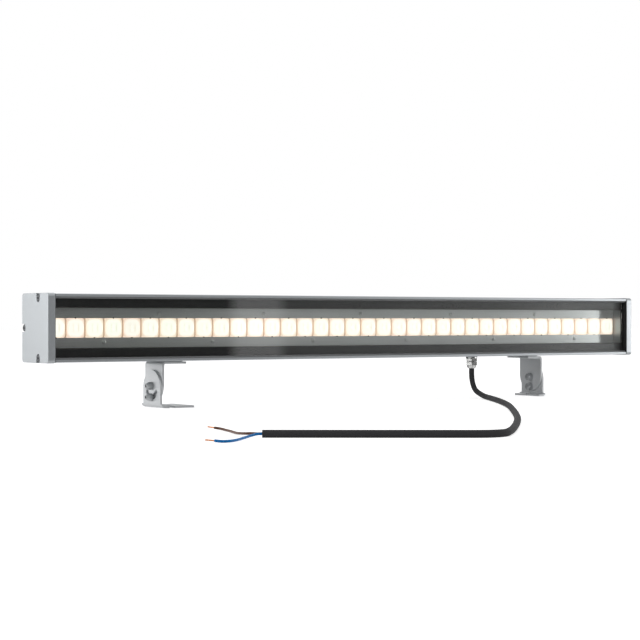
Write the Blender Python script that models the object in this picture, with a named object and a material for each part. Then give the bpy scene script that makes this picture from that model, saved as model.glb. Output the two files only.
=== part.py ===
"""Linear wall-washing light on two tilting feet, with its supply cord laid on the floor.

The light runs along X, its glass faces -Y, and the feet stand on Z = 0.
The origin is the bottom centre of the light, measured without the cord.
Each foot turns about an axis along X, through its pivot bolt.
"""
import math

import bmesh
import bpy
from mathutils import Vector

mm = 0.001

# Fits
gap = 0.3 * mm
bore_clearance = 0.3 * mm

# Body
body_length = 1000 * mm
body_bottom = 62.7 * mm
cap_depth = 82 * mm
cap_thickness = 10 * mm
cap_proud = 0.9 * mm
cap_corner = 4.5 * mm
gasket_thickness = 0.6 * mm
gasket_width = 9 * mm
housing_height = 88 * mm
wall = 3 * mm
rear_wall = 4 * mm
housing_corner = 2 * mm
front_chamfer = 0.9 * mm
groove_count = 9
groove_width = 3 * mm
groove_depth = 1.4 * mm
groove_pitch = 8 * mm

# Front rim and glass
lip_face = 3.6 * mm
lip_step_back = 3 * mm
lip_height = 6 * mm
glass_recess = 6 * mm
glass_thickness = 4 * mm
seal_thickness = 2 * mm
seal_height = 3 * mm
rib_thickness = 2 * mm

# Screw channels and cap screws
channel_back = 31.3 * mm
channel_inset = 5.5 * mm
rear_channel_inset = 4.8 * mm
channel_wall = 2.1 * mm
channel_slit = 1.6 * mm
cap_screw_radius = 1.8 * mm
cap_screw_length = 18 * mm
cap_screw_head = 4.5 * mm
cap_screw_head_height = 2.6 * mm
notch_radius = 5.2 * mm
notch_floor = 7 * mm

# Lens row, clamps, boards
lens_count = 36
lenses_per_strip = 6
lens_row_margin = 11.2 * mm
lens_spacing = 1.5 * mm
lens_height = 24.3 * mm
lens_draft = 0.8 * mm
lens_plane = 31.5 * mm
lens_proud = 0.6 * mm
lens_flange_height = 30 * mm
lens_flange_thickness = 2.8 * mm
lens_rail_width = 3 * mm
clamp_thickness = 1.2 * mm
clamp_height = 18.4 * mm
clamp_screw_rise = 18.6 * mm
clamp_screw_radius = 1.5 * mm
clamp_screw_head = 2.9 * mm
clamp_screw_head_height = 1.6 * mm
trim_thickness = 1.2 * mm
trim_edge = 25.8 * mm
chip_size = 3.5 * mm
chip_thickness = 0.5 * mm
board_count = 3
board_thickness = 1.6 * mm
board_height = 30 * mm
web_thickness = 2.5 * mm

# Driver and terminal block in the rear chamber
driver_x = 20 * mm
driver_length = 180 * mm
driver_height = 56 * mm
driver_depth = 24 * mm
driver_ear = 9 * mm
driver_ear_thickness = 3 * mm
driver_screw_radius = 2 * mm
driver_screw_head = 3.8 * mm
terminal_x = 156 * mm
terminal_length = 26 * mm
terminal_height = 14 * mm
terminal_depth = 13 * mm
terminal_port_radius = 2 * mm

# Brackets and feet
bracket_spacing = 658 * mm
plate_thickness = 3 * mm
flange_thickness = 2.8 * mm
flange_pad_height = 0.9 * mm
flange_pad_margin = 4 * mm
bend_radius = 2 * mm
arm_width = 49.5 * mm
foot_width = 58 * mm
left_upper_reach = 36 * mm
right_upper_reach = 28 * mm
left_foot_reach = 49 * mm
right_foot_reach = 13 * mm
pivot_height = 29 * mm
round_end_back = 3.3 * mm
lock_radius = 15 * mm
tilt_limit = math.radians(55)
slot_spare = math.radians(2)
slot_clearance = 0.5 * mm
tilt_bolt_radius = 3 * mm
tilt_head_radius = 5.2 * mm
tilt_head_height = 8.5 * mm
tilt_nut_flats = 10 * mm
tilt_nut_height = 5 * mm
nut_flange_radius = 6.4 * mm
nut_flange_thickness = 1 * mm
left_slot_width = 8 * mm
left_slot_length = 26 * mm
left_slot_inset = 16 * mm
right_slot_width = 5 * mm
right_slot_length = 7 * mm
mount_bolt_radius = 2.5 * mm
mount_bolt_head_radius = 4.8 * mm
mount_bolt_head = 2.3 * mm
mount_bolt_rim = 0.2 * mm
mount_bolt_socket = 3 * mm
mount_bolt_inset = 20 * mm
mount_bolt_ys = (7.5 * mm, 18.5 * mm)
backing_width = 16 * mm
backing_margin = 5.5 * mm
backing_thickness = 4 * mm

# Gland
gland_x = 212.4 * mm
gland_y = 2 * mm
gland_flange_radius = 8.8 * mm
gland_flange_height = 2.2 * mm
gland_flats = 16 * mm
gland_hex_height = 4.6 * mm
gland_nut_height = 10 * mm
gland_nut_end_radius = 6 * mm
gland_thread_radius = 6 * mm
gland_thread_length = 9 * mm
gland_seal_thickness = 1 * mm
lock_nut_flats = 14 * mm
lock_nut_height = 3.5 * mm

# Cord
cord_radius = 4 * mm
wire_radius = 1.4 * mm
wire_spread = 1.75 * mm
copper_radius = 0.8 * mm
copper_length = 10 * mm
floor_air = 0.05 * mm

# Places worked out from the sizes above
front_face = -cap_depth / 2
housing_front = front_face + cap_proud
housing_rear = -front_face - cap_proud
half_height = housing_height / 2
body_centre = body_bottom + half_height
cap_inner = body_length / 2 - cap_thickness
gasket_outer = cap_inner - gap
housing_end = gasket_outer - gasket_thickness - gap
inner_top = half_height - wall
rim_top = half_height - lip_height
glass_front = front_face + glass_recess
glass_back = glass_front + glass_thickness
seal_front = glass_back + gap
seal_back = seal_front + seal_thickness
rib_front = seal_back + gap
rib_back = rib_front + rib_thickness
channel_y = front_face + channel_back
channel_z = half_height - channel_inset
rear_channel_y = housing_rear - rear_channel_inset
channel_bore = cap_screw_radius + bore_clearance
channel_half = channel_bore + channel_wall
lens_front = front_face + lens_plane
clamp_front = lens_front + lens_proud
clamp_back = clamp_front + clamp_thickness
lens_flange_front = clamp_back + gap
lens_flange_back = lens_flange_front + lens_flange_thickness
chip_front = lens_flange_back + gap
board_front = chip_front + chip_thickness
board_back = board_front + board_thickness
web_front = board_back + gap
web_back = web_front + web_thickness
lens_pitch = (body_length - 2 * lens_row_margin) / lens_count
lens_width = lens_pitch - lens_spacing
strip_count = lens_count // lenses_per_strip
strip_pitch = lens_pitch * lenses_per_strip
arm_plane = bracket_spacing / 2
lock_height = pivot_height - lock_radius
upper_top = body_bottom - gap - flange_pad_height
upper_bottom = upper_top - flange_thickness
gland_top = body_bottom - gap
gland_hex_top = gland_top - gland_seal_thickness - gap
gland_nut_top = gland_hex_top - gland_flange_height - gland_hex_height - gap
gland_bottom = gland_nut_top - gland_nut_height
cord_bore = cord_radius + bore_clearance
cord_rest = cord_radius + floor_air
wire_rest = wire_radius + floor_air


# The cord's own route, from the gland to the cut end of its jacket
cord_route = [
    (212.4, 2, 43.7), (212.4, 2, 37), (212, 0.8, 29), (210.8, -2.7, 21.7),
    (208.9, -8.2, 15.8), (206.7, -14.5, 12), (203.8, -23, 9.2), (200.1, -34, 7),
    (193.5, -48.5, 5.4), (184.6, -65.4, 4.5), (165, -102, 4.05), (118, -180.5, 4.05),
    (56.5, -273.5, 4.05), (-24, -381.5, 4.05), (-117, -500.5, 4.05), (-193, -590, 4.05),
    (-255, -658.5, 4.05), (-283, -686.7, 4.05), (-291.2, -694.7, 4.05), (-300.5, -701.1, 4.05),
    (-311.2, -704.2, 4.05), (-322.4, -703.4, 4.05), (-332.8, -699, 4.05), (-342.3, -692.8, 4.05),
    (-364.5, -678.4, 4.05), (-422, -639.7, 4.05), (-468, -609, 4.05), (-511.2, -580.1, 4.05),
]
brown_route = [
    (-512.3, -579.4, 4.05), (-515.3, -576.8, 4.0), (-516.9, -566.5, 3.8), (-517, -555, 3.1),
    (-511.5, -531, 2.0), (-498.6, -496, 1.5), (-492.4, -474.5, 1.5), (-489.9, -460, 1.9),
    (-492.3, -451.6, 2.5),
]
blue_route = [
    (-512.3, -579.4, 4.05), (-516.4, -577.6, 3.8), (-526, -583.4, 3.0), (-542.3, -596.5, 2.0),
    (-559, -611, 1.5), (-570.5, -618.8, 1.45), (-579.5, -619.3, 1.5), (-584, -612.8, 1.9),
]


def linear(value):
    return value / 12.92 if value <= 0.04045 else ((value + 0.055) / 1.055) ** 2.4


def finish(name, colour, roughness, metallic=0.0):
    """A Principled material of a colour given as sRGB hex."""
    material = bpy.data.materials.new(name)
    material.use_nodes = True
    shader = material.node_tree.nodes["Principled BSDF"]
    parts = [int(colour[i:i + 2], 16) / 255 for i in (0, 2, 4)]
    shader.inputs["Base Color"].default_value = [linear(part) for part in parts] + [1.0]
    shader.inputs["Roughness"].default_value = roughness
    shader.inputs["Metallic"].default_value = metallic
    return material


def place(name, shape, material, parent, smooth=35):
    """Make one object of a bmesh in world coordinates, with its origin at its middle."""
    low = Vector(min(v.co[i] for v in shape.verts) for i in range(3))
    high = Vector(max(v.co[i] for v in shape.verts) for i in range(3))
    return place_at(name, shape, material, parent, (low + high) / 2, smooth)


def place_at(name, shape, material, parent, origin, smooth=35):
    """Make one object of a bmesh in world coordinates, with its origin at a given point."""
    bmesh.ops.recalc_face_normals(shape, faces=shape.faces)
    bmesh.ops.translate(shape, verts=shape.verts, vec=-Vector(origin))
    mesh = bpy.data.meshes.new(name)
    shape.to_mesh(mesh)
    shape.free()
    mesh.shade_smooth()
    mesh.set_sharp_from_angle(angle=math.radians(smooth))
    item = bpy.data.objects.new(name, mesh)
    bpy.context.scene.collection.objects.link(item)
    if material:
        mesh.materials.append(material)
    item.location = Vector(origin)
    if parent:
        item.parent = parent
        item.location = Vector(origin) - parent.location
    return item


def tool(name, shape):
    """A cutter: a closed shape that only a Boolean reads."""
    item = place_at(name, shape, None, None, (0, 0, 0))
    item.hide_render = True
    item.display_type = "WIRE"
    return item


def boolean(item, shape, operation="DIFFERENCE"):
    """Cut a shape out of an object, or fuse it on."""
    step = item.modifiers.new(operation.lower(), "BOOLEAN")
    step.operation = operation
    step.solver = "EXACT"
    step.object = tool(f"{item.name}_tool_{len(item.modifiers)}", shape)


def merged(shapes):
    """Several separate closed shapes in one bmesh."""
    whole = bmesh.new()
    for shape in shapes:
        mesh = bpy.data.meshes.new("part_of_group")
        bmesh.ops.recalc_face_normals(shape, faces=shape.faces)
        shape.to_mesh(mesh)
        shape.free()
        whole.from_mesh(mesh)
        bpy.data.meshes.remove(mesh)
    return whole


def prism(outline, start, end, axis, holes=()):
    """Extrude a flat outline, with any holes, along a world axis."""
    order = {"x": (2, 0, 1), "y": (0, 2, 1), "z": (0, 1, 2)}[axis]
    shape = bmesh.new()
    edges = []
    for loop in (outline, *holes):
        verts = []
        for point in loop:
            spread = (point[0], point[1], start)
            verts.append(shape.verts.new([spread[i] for i in order]))
        edges += [shape.edges.new((verts[i - 1], verts[i])) for i in range(len(verts))]
    bmesh.ops.triangle_fill(shape, use_beauty=True, edges=edges)
    flat = list(shape.faces)
    grown = bmesh.ops.extrude_face_region(shape, geom=flat)
    moved = [v for v in grown["geom"] if isinstance(v, bmesh.types.BMVert)]
    along = {"x": (1, 0, 0), "y": (0, 1, 0), "z": (0, 0, 1)}[axis]
    bmesh.ops.translate(shape, verts=moved, vec=Vector(along) * (end - start))
    bmesh.ops.recalc_face_normals(shape, faces=shape.faces)
    return shape


def block(low, high):
    """A box between two corners."""
    outline = [(low[0], low[1]), (high[0], low[1]), (high[0], high[1]), (low[0], high[1])]
    return prism(outline, low[2], high[2], "z")


def turned(profile, base, axis, segments=24, ring=False):
    """Turn a profile of (radius, height) points about an axis through the base point."""
    shape = bmesh.new()
    verts = [shape.verts.new((radius, 0, height)) for radius, height in profile]
    edges = [shape.edges.new(pair) for pair in zip(verts, verts[1:])]
    if ring:
        edges.append(shape.edges.new((verts[-1], verts[0])))
    bmesh.ops.spin(shape, geom=verts + edges, cent=(0, 0, 0), axis=(0, 0, 1),
                   angle=math.tau, steps=segments, use_merge=True)
    bmesh.ops.remove_doubles(shape, verts=shape.verts, dist=1e-6)
    bmesh.ops.dissolve_degenerate(shape, edges=shape.edges, dist=1e-6)
    turn = Vector((0, 0, 1)).rotation_difference(Vector(axis)).to_matrix()
    bmesh.ops.rotate(shape, verts=shape.verts, cent=(0, 0, 0), matrix=turn)
    bmesh.ops.translate(shape, verts=shape.verts, vec=base)
    return shape


def rod(radius, base, axis, length, segments=24):
    """A plain cylinder from a base point along an axis."""
    return turned([(0, 0), (radius, 0), (radius, length), (0, length)], base, axis, segments)


def circle(centre, radius, segments=24, start=0.0, turn=math.tau):
    """Points along a circle or an arc, the arc with both its ends."""
    whole = abs(abs(turn) - math.tau) < 1e-9
    count = segments if whole else segments + 1
    angles = [start + turn * i / segments for i in range(count)]
    return [polar(centre, radius, angle) for angle in angles]


def polar(centre, radius, angle):
    return (centre[0] + radius * math.cos(angle), centre[1] + radius * math.sin(angle))


def hexagon(centre, flats):
    """A hexagon given by its size across flats."""
    return circle(centre, flats / math.sqrt(3), 6, math.radians(30))


def rounded(low, high, radius, steps=4):
    """A rectangle with round corners."""
    quarter = math.pi / 2
    centres = [(high[0] - radius, high[1] - radius), (low[0] + radius, high[1] - radius),
               (low[0] + radius, low[1] + radius), (high[0] - radius, low[1] + radius)]
    points = []
    for i, centre in enumerate(centres):
        points += circle(centre, radius, steps, quarter * i, quarter)
    return points


def bolt(base, axis, head, head_height, radius, length, dome=0.6 * mm, segments=14):
    """A round-headed screw whose head starts at the base point and points against the axis."""
    profile = [(0, -head_height), (head - dome * 2, -head_height), (head, -head_height + dome),
               (head, 0), (radius, 0), (radius, length - dome), (radius - dome, length), (0, length)]
    return turned(profile, base, axis, segments)


def channel_outline(centre, opening):
    """The open screw channel in the housing, as points from one side of its slit to the other."""
    spread = math.asin(channel_slit / 2 / channel_bore)
    bore = circle(centre, channel_bore, 14, opening + spread, math.tau - 2 * spread)
    side = Vector((-math.sin(opening), math.cos(opening)))
    out = Vector((math.cos(opening), math.sin(opening)))
    middle = Vector(centre)
    tip = middle + out * channel_half
    first = [tip + side * channel_half, tip + side * channel_slit / 2]
    last = [tip - side * channel_slit / 2, tip - side * channel_half]
    return [tuple(p) for p in first] + bore + [tuple(p) for p in last]


def front_cavity():
    """The upper half of the front opening, from the front lip back to the web."""
    down = -math.pi / 2
    points = [
        (housing_front, half_height - lip_face),
        (housing_front + lip_step_back, half_height - lip_face),
        (housing_front + lip_step_back, rim_top),
        (glass_front - gap, rim_top),
        (glass_front - gap, inner_top),
        (rib_front, inner_top),
        (rib_front, rim_top),
        (rib_back, rim_top),
        (rib_back, inner_top),
        (channel_y - channel_half, inner_top),
    ]
    channel = channel_outline((channel_y, channel_z), down)
    points += list(reversed(channel))
    points += [(channel_y + channel_half, inner_top), (web_front, inner_top)]
    return points


def housing_outline():
    """Outer loop of the housing's section, its front cavity included."""
    upper = front_cavity()
    lower = [(y, -z) for y, z in reversed(upper)]
    quarter = math.pi / 2
    rear = housing_rear - housing_corner
    top = half_height - housing_corner
    loop = [(housing_front, -half_height + front_chamfer), (housing_front + front_chamfer, -half_height)]
    loop += circle((rear, -top), housing_corner, 4, -quarter, quarter)
    first = -(groove_count - 1) / 2 * groove_pitch
    for i in range(groove_count):
        z = first + i * groove_pitch
        floor = housing_rear - groove_depth
        loop += [(housing_rear, z - groove_width / 2), (floor, z - groove_width / 2),
                 (floor, z + groove_width / 2), (housing_rear, z + groove_width / 2)]
    loop += circle((rear, top), housing_corner, 4, 0, quarter)
    loop += [(housing_front + front_chamfer, half_height), (housing_front, half_height - front_chamfer)]
    return loop + upper + lower


def chamber_outline():
    """The closed rear chamber of the housing, with the rear screw channel on its wall."""
    rear = housing_rear - rear_wall
    channel = channel_outline((rear_channel_y, 0), math.pi)
    return ([(web_back, -inner_top), (rear, -inner_top), (rear, -channel_half)] + channel
            + [(rear, channel_half), (rear, inner_top), (web_back, inner_top)])


def lift(points):
    """Raise section points from the middle of the body to their height."""
    return [(y, z + body_centre) for y, z in points]


def cap_screw_places():
    """The (y, z) of the three screws of each end cap."""
    return [(channel_y, body_centre + channel_z), (channel_y, body_centre - channel_z),
            (rear_channel_y, body_centre)]


def clamp_screw_places():
    """The x and side of each clamp screw: top ones between strips, bottom ones mid-strip."""
    top = [(-lens_count / 2 + lenses_per_strip * i) * lens_pitch for i in range(1, strip_count)]
    low = [(-lens_count / 2 + lenses_per_strip * (i + 0.5)) * lens_pitch for i in range(strip_count)]
    return [(x, 1) for x in top] + [(x, -1) for x in low]


def make_housing(parent):
    shape = prism(lift(housing_outline()), -housing_end, housing_end, "x", [lift(chamber_outline())])
    housing = place("housing_profile", shape, aluminium, parent)
    start = web_front - wall
    holes = [rod(clamp_screw_radius + bore_clearance, (x, start, body_centre + s * clamp_screw_rise),
                 (0, 1, 0), web_thickness + 2 * wall, 12) for x, s in clamp_screw_places()]
    for sign in (-1, 1):
        x = driver_x + sign * (driver_length + driver_ear) / 2
        holes.append(rod(driver_screw_radius + bore_clearance, (x, start, body_centre),
                         (0, 1, 0), web_thickness + 2 * wall, 12))
    boolean(housing, merged(holes))
    bores = []
    for side in (-1, 1):
        for y in mount_bolt_ys:
            bores.append(rod(mount_bolt_radius + bore_clearance,
                             (side * (arm_plane - mount_bolt_inset), y, body_bottom - wall),
                             (0, 0, 1), wall * 3, 16))
    bores.append(rod(gland_thread_radius + bore_clearance, (gland_x, gland_y, body_bottom - wall),
                     (0, 0, 1), wall * 3, 24))
    boolean(housing, merged(bores))
    room = lock_nut_flats / math.sqrt(3) + bore_clearance
    boolean(housing, rod(room, (gland_x, gland_y, body_bottom + wall), (0, 0, 1),
                         gland_thread_length + 3 * cord_radius, 24))


def make_end(side, name, parent):
    """End cap, gasket and screws of one end."""
    inner, outer = side * cap_inner, side * body_length / 2
    half = half_height + cap_proud
    outline = rounded((front_face, body_centre - half), (-front_face, body_centre + half), cap_corner)
    cap = place(f"end_cap_{name}", prism(outline, inner, outer, "x"), cap_grey, parent)
    reach = notch_radius + cap_proud + channel_inset
    notches, bores, rings = [], [], []
    for place_name, (y, z) in zip(("top", "bottom", "rear"), cap_screw_places()):
        out = (1, 0) if y == rear_channel_y else (0, 1 if z > body_centre else -1)
        angle = math.atan2(out[1], out[0])
        along, across = Vector(out) * reach, Vector((-out[1], out[0])) * notch_radius
        mouth = [tuple(Vector((y, z)) + along - across), tuple(Vector((y, z)) + along + across)]
        arc = circle((y, z), notch_radius, 12, angle + math.pi / 2, math.pi)
        notches.append(prism(mouth + arc, inner + side * notch_floor, outer + side * wall, "x"))
        bores.append(rod(cap_screw_radius + bore_clearance, (inner - side * wall, y, z),
                         (side, 0, 0), notch_floor + 2 * wall, 16))
        seat = inner + side * (notch_floor + gap)
        shape = bolt((seat, y, z), (-side, 0, 0), cap_screw_head, cap_screw_head_height,
                     cap_screw_radius, cap_screw_length)
        screw = place(f"end_cap_screw_{name}_{place_name}", shape, stainless, parent)
        boolean(screw, prism(hexagon((y, z), cap_screw_head), seat + side * cap_screw_head_height / 2,
                             outer, "x"))
        rings.append(circle((y, z), cap_screw_radius + bore_clearance, 16))
    boolean(cap, merged(notches))
    boolean(cap, merged(bores))
    low, high = glass_front, housing_rear - gap
    tall, window = half_height - gap, half_height - gasket_width
    frame = rounded((low, body_centre - tall), (high, body_centre + tall), cap_corner)
    inside = rounded((low + gasket_width, body_centre - window),
                     (high - gasket_width, body_centre + window), cap_corner)
    start, end = side * (gasket_outer - gasket_thickness), side * gasket_outer
    gasket = prism(frame, start, end, "x", [inside] + rings)
    place(f"end_gasket_{name}", gasket, rubber, parent)


def make_glass(parent):
    half = inner_top - gap
    end = housing_end
    low, high = (-end, glass_front, body_centre - half), (end, glass_back, body_centre + half)
    place("front_glass", block(low, high), glass, parent)
    outline = rounded((-end, body_centre - half), (end, body_centre + half), seal_height)
    inside = rounded((-end + seal_height, body_centre - half + seal_height),
                     (end - seal_height, body_centre + half - seal_height), seal_height / 2)
    place("glass_seal", prism(outline, seal_front, seal_back, "y", [inside]), rubber, parent)


def angle_outline(corner, out, across, thickness, legs, bend):
    """An L section: legs of two lengths from an outer corner, bent with an inner radius."""
    out, across = Vector(out), Vector(across)
    outer = bend + thickness
    centre = Vector(corner) + (out + across) * outer
    turn = math.pi / 2
    arc_out = [centre - out * outer * math.cos(a) - across * outer * math.sin(a)
               for a in [turn * i / 4 for i in range(5)]]
    arc_in = [centre - out * bend * math.cos(a) - across * bend * math.sin(a)
              for a in [turn * i / 4 for i in range(4, -1, -1)]]
    corner = Vector(corner)
    start = [corner + across * legs[1], corner + across * legs[1] + out * thickness]
    end = [corner + out * legs[0], corner + out * legs[0] + across * thickness]
    points = [start[0]] + arc_out + [end[0], end[1]] + arc_in + [start[1]]
    return [tuple(p) for p in points]


def make_trims(parent):
    """The black border strips and the grey clamps with their screws, above and below the lens row."""
    for sign, name in ((1, "top"), (-1, "bottom")):
        edge = body_centre + sign * trim_edge
        outline = angle_outline((rib_back + gap, edge), (1, 0), (0, sign), trim_thickness,
                                (clamp_front - gap - rib_back - gap, inner_top - gap - trim_edge), 0.3 * mm)
        place(f"black_trim_{name}", prism(outline, -housing_end, housing_end, "x"), black_paint, parent)
        low = lens_height / 2 + bore_clearance
        far = body_centre + sign * (low + clamp_height)
        outline = angle_outline((clamp_front, far), (1, 0), (0, -sign), clamp_thickness,
                                (web_front - gap - clamp_front, clamp_height), 0.3 * mm)
        clamp = place(f"lens_clamp_{name}", prism(outline, -housing_end, housing_end, "x"),
                      grey_paint, parent)
        base = clamp_front + clamp_thickness / 4
        screws = [bolt((x, base, body_centre + s * clamp_screw_rise), (0, 1, 0), clamp_screw_head,
                       clamp_screw_head_height, clamp_screw_radius, web_back - base - gap, 0.4 * mm, 12)
                  for x, s in clamp_screw_places() if s == sign]
        boolean(clamp, merged(screws), "UNION")


def make_modules(parent):
    """Lens strips, and the boards with a chip soldered on behind each lens."""
    half = lens_flange_height / 2
    rail = board_front - gap
    section = [(lens_flange_front, -half), (rail, -half), (rail, -half + lens_rail_width),
               (lens_flange_back, -half + lens_rail_width), (lens_flange_back, half - lens_rail_width),
               (rail, half - lens_rail_width), (rail, half), (lens_flange_front, half)]
    for i in range(strip_count):
        middle = (i - (strip_count - 1) / 2) * strip_pitch
        end = (strip_pitch - gap) / 2
        strip = place(f"lens_strip_{i + 1}", prism(lift(section), middle - end, middle + end, "x"),
                      lens_clear, parent)
        heads = []
        for j in range(lenses_per_strip):
            x = middle + (j - (lenses_per_strip - 1) / 2) * lens_pitch
            heads.append(lens_head(x))
        boolean(strip, merged(heads), "UNION")
    per_board = lens_count // board_count
    for i in range(board_count):
        middle = (i - (board_count - 1) / 2) * per_board * lens_pitch
        end = (per_board * lens_pitch - gap) / 2
        board = block((middle - end, board_front, body_centre - board_height / 2),
                      (middle + end, board_back, body_centre + board_height / 2))
        board = place(f"led_board_{i + 1}", board, board_white, parent)
        chips = []
        for j in range(per_board):
            x = middle + (j - (per_board - 1) / 2) * lens_pitch
            chips.append(block((x - chip_size / 2, chip_front, body_centre - chip_size / 2),
                               (x + chip_size / 2, board_front + board_thickness / 2,
                                body_centre + chip_size / 2)))
        boolean(board, merged(chips), "UNION")


def lens_head(x):
    """One square lens: a tapered block whose root is inside the strip's flange."""
    root = lens_flange_front + lens_flange_thickness / 2
    shape = block((x - lens_width / 2, lens_front, body_centre - lens_height / 2),
                  (x + lens_width / 2, root, body_centre + lens_height / 2))
    front = [v for v in shape.verts if v.co.y < (lens_front + root) / 2]
    for vert in front:
        vert.co.x += lens_draft if vert.co.x < x else -lens_draft
    return shape


def make_driver(parent):
    """LED driver on the back of the web, its two screws, and the terminal block."""
    seat = web_back + gap
    half = driver_length / 2
    outline = [(-half - driver_ear, seat), (half + driver_ear, seat),
               (half + driver_ear, seat + driver_ear_thickness), (half, seat + driver_ear_thickness),
               (half, seat + driver_depth), (-half, seat + driver_depth),
               (-half, seat + driver_ear_thickness), (-half - driver_ear, seat + driver_ear_thickness)]
    low, high = body_centre - driver_height / 2, body_centre + driver_height / 2
    driver = place("led_driver", prism([(x + driver_x, y) for x, y in outline], low, high, "z"),
                   driver_grey, parent)
    holes = []
    for sign, side_name in ((-1, "left"), (1, "right")):
        x = driver_x + sign * (driver_length + driver_ear) / 2
        holes.append(rod(driver_screw_radius + bore_clearance, (x, web_front, body_centre), (0, 1, 0),
                         driver_depth, 12))
        screw = bolt((x, seat + driver_ear_thickness + gap, body_centre), (0, -1, 0),
                     driver_screw_head, driver_screw_radius, driver_screw_radius,
                     driver_ear_thickness + web_thickness, 0.4 * mm, 12)
        place(f"driver_screw_{side_name}", screw, stainless, parent)
    boolean(driver, merged(holes))
    half = terminal_length / 2
    terminal = place("terminal_block", block(
        (terminal_x - half, seat, body_centre - terminal_height / 2),
        (terminal_x + half, seat + terminal_depth, body_centre + terminal_height / 2)),
        terminal_white, parent)
    y, z = seat + terminal_depth / 2, body_centre - terminal_height
    ports = [rod(terminal_port_radius, (terminal_x + x, y, z), (0, 0, 1), terminal_height * 2, 12)
             for x in terminal_offsets()]
    boolean(terminal, merged(ports))


def terminal_offsets():
    """The x of each pole of the terminal block, from its middle."""
    return [terminal_length * (i - 1) / 3 for i in range(3)]


def mirrored(points, side):
    """Section points turned to their side of the light."""
    return [(side * x, z) for x, z in points]


def make_bracket(side, name, reach, parent):
    """Upper bracket, its bolts, the tapped plate that they pull on, and the tilt bolts."""
    face = arm_plane - gap / 2
    outline = angle_outline((face, upper_top), (-1, 0), (0, -1), flange_thickness,
                            (reach, upper_top - pivot_height - round_end_back + arm_width / 2), bend_radius)
    shape = prism(mirrored(outline, side), -arm_width / 2, arm_width / 2, "y")
    bracket = place(f"upper_bracket_{name}", shape, aluminium_plate, parent)
    boolean(bracket, corner_tool(side, -1))
    edge = arm_width / 2 - flange_pad_margin
    pad_x = sorted((side * (face - flange_thickness - flange_pad_margin),
                    side * (face - reach + flange_pad_margin)))
    pad = block((pad_x[0], -edge, upper_bottom + flange_thickness / 2),
                (pad_x[1], edge, upper_top + flange_pad_height))
    boolean(bracket, pad, "UNION")
    thickness = flange_thickness + 2 * wall
    start = side * (face + wall)
    bores = [rod(tilt_bolt_radius + bore_clearance, (start, 0, z), (-side, 0, 0), thickness, 20)
             for z in (pivot_height, lock_height)]
    x = side * (arm_plane - mount_bolt_inset)
    bores += [sunk_bolt((x, y), upper_bottom, bore_clearance, thickness) for y in mount_bolt_ys]
    boolean(bracket, merged(bores))
    inside = body_bottom + wall + gap
    length = inside + backing_thickness - upper_bottom
    for where, y in zip(("front", "rear"), mount_bolt_ys):
        item = place(f"bracket_bolt_{name}_{where}", sunk_bolt((x, y), upper_bottom, 0, length), stainless,
                     parent)
        boolean(item, prism(hexagon((x, y), mount_bolt_socket), upper_bottom - wall,
                            upper_bottom + mount_bolt_head * 0.7, "z"))
    half = backing_width / 2
    backing = rounded((x - half, mount_bolt_ys[0] - backing_margin),
                      (x + half, mount_bolt_ys[1] + backing_margin), 1 * mm)
    place(f"bracket_backing_{name}",
          prism(backing, inside, inside + backing_thickness, "z",
                [circle((x, y), mount_bolt_radius + bore_clearance, 16) for y in mount_bolt_ys]),
          stainless, parent)
    make_tilt_bolts(side, name, parent)


def sunk_bolt(centre, base, spare, length):
    """A countersunk bolt that points up from its flat head, or with some spare its own hole."""
    head, shank = mount_bolt_head_radius + spare, mount_bolt_radius + spare
    start = -wall if spare else 0
    profile = [(0, start), (head, start), (head, mount_bolt_rim), (shank, mount_bolt_head),
               (shank, length), (0, length)]
    return turned(profile, (*centre, base), (0, 0, 1), 20)


def make_tilt_bolts(side, name, parent):
    """Pivot and lock bolt with their flanged nuts, heads on the outside."""
    outside = arm_plane + gap / 2 + plate_thickness + gap
    inner = arm_plane - gap / 2 - flange_thickness - gap
    length = outside - inner + nut_flange_thickness + tilt_nut_height + 2 * gap
    for z, what in ((pivot_height, "pivot"), (lock_height, "lock")):
        shape = bolt((side * outside, 0, z), (-side, 0, 0), tilt_head_radius, tilt_head_height,
                     tilt_bolt_radius, length)
        item = place(f"{what}_bolt_{name}", shape, stainless, parent)
        socket = prism(hexagon((0, z), tilt_bolt_radius * 1.3), side * (outside + tilt_head_height / 2),
                       side * (outside + 2 * tilt_head_height), "x")
        boolean(item, socket)
        bore = circle((0, z), tilt_bolt_radius + bore_clearance, 20)
        seat = inner - nut_flange_thickness
        nut = place(f"{what}_nut_{name}", prism(hexagon((0, z), tilt_nut_flats), side * (seat + gap),
                                                side * (seat - tilt_nut_height), "x", [bore]),
                    stainless, parent)
        boolean(nut, prism(circle((0, z), nut_flange_radius), side * inner, side * seat, "x", [bore]),
                "UNION")


def corner_tool(side, way):
    """Removes both corners of an arm so that its end is a half circle just beyond the pivot."""
    radius, reach = arm_width / 2, foot_width
    middle = pivot_height - way * round_end_back
    arc = circle((0, middle), radius, 24, 0, way * math.pi)
    far = middle + way * reach
    outline = arc + [(-reach, middle), (-reach, far), (reach, far), (reach, middle)]
    inner = arm_plane - flange_thickness - wall
    return prism(outline, side * inner, side * (arm_plane + plate_thickness + wall), "x")


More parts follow.
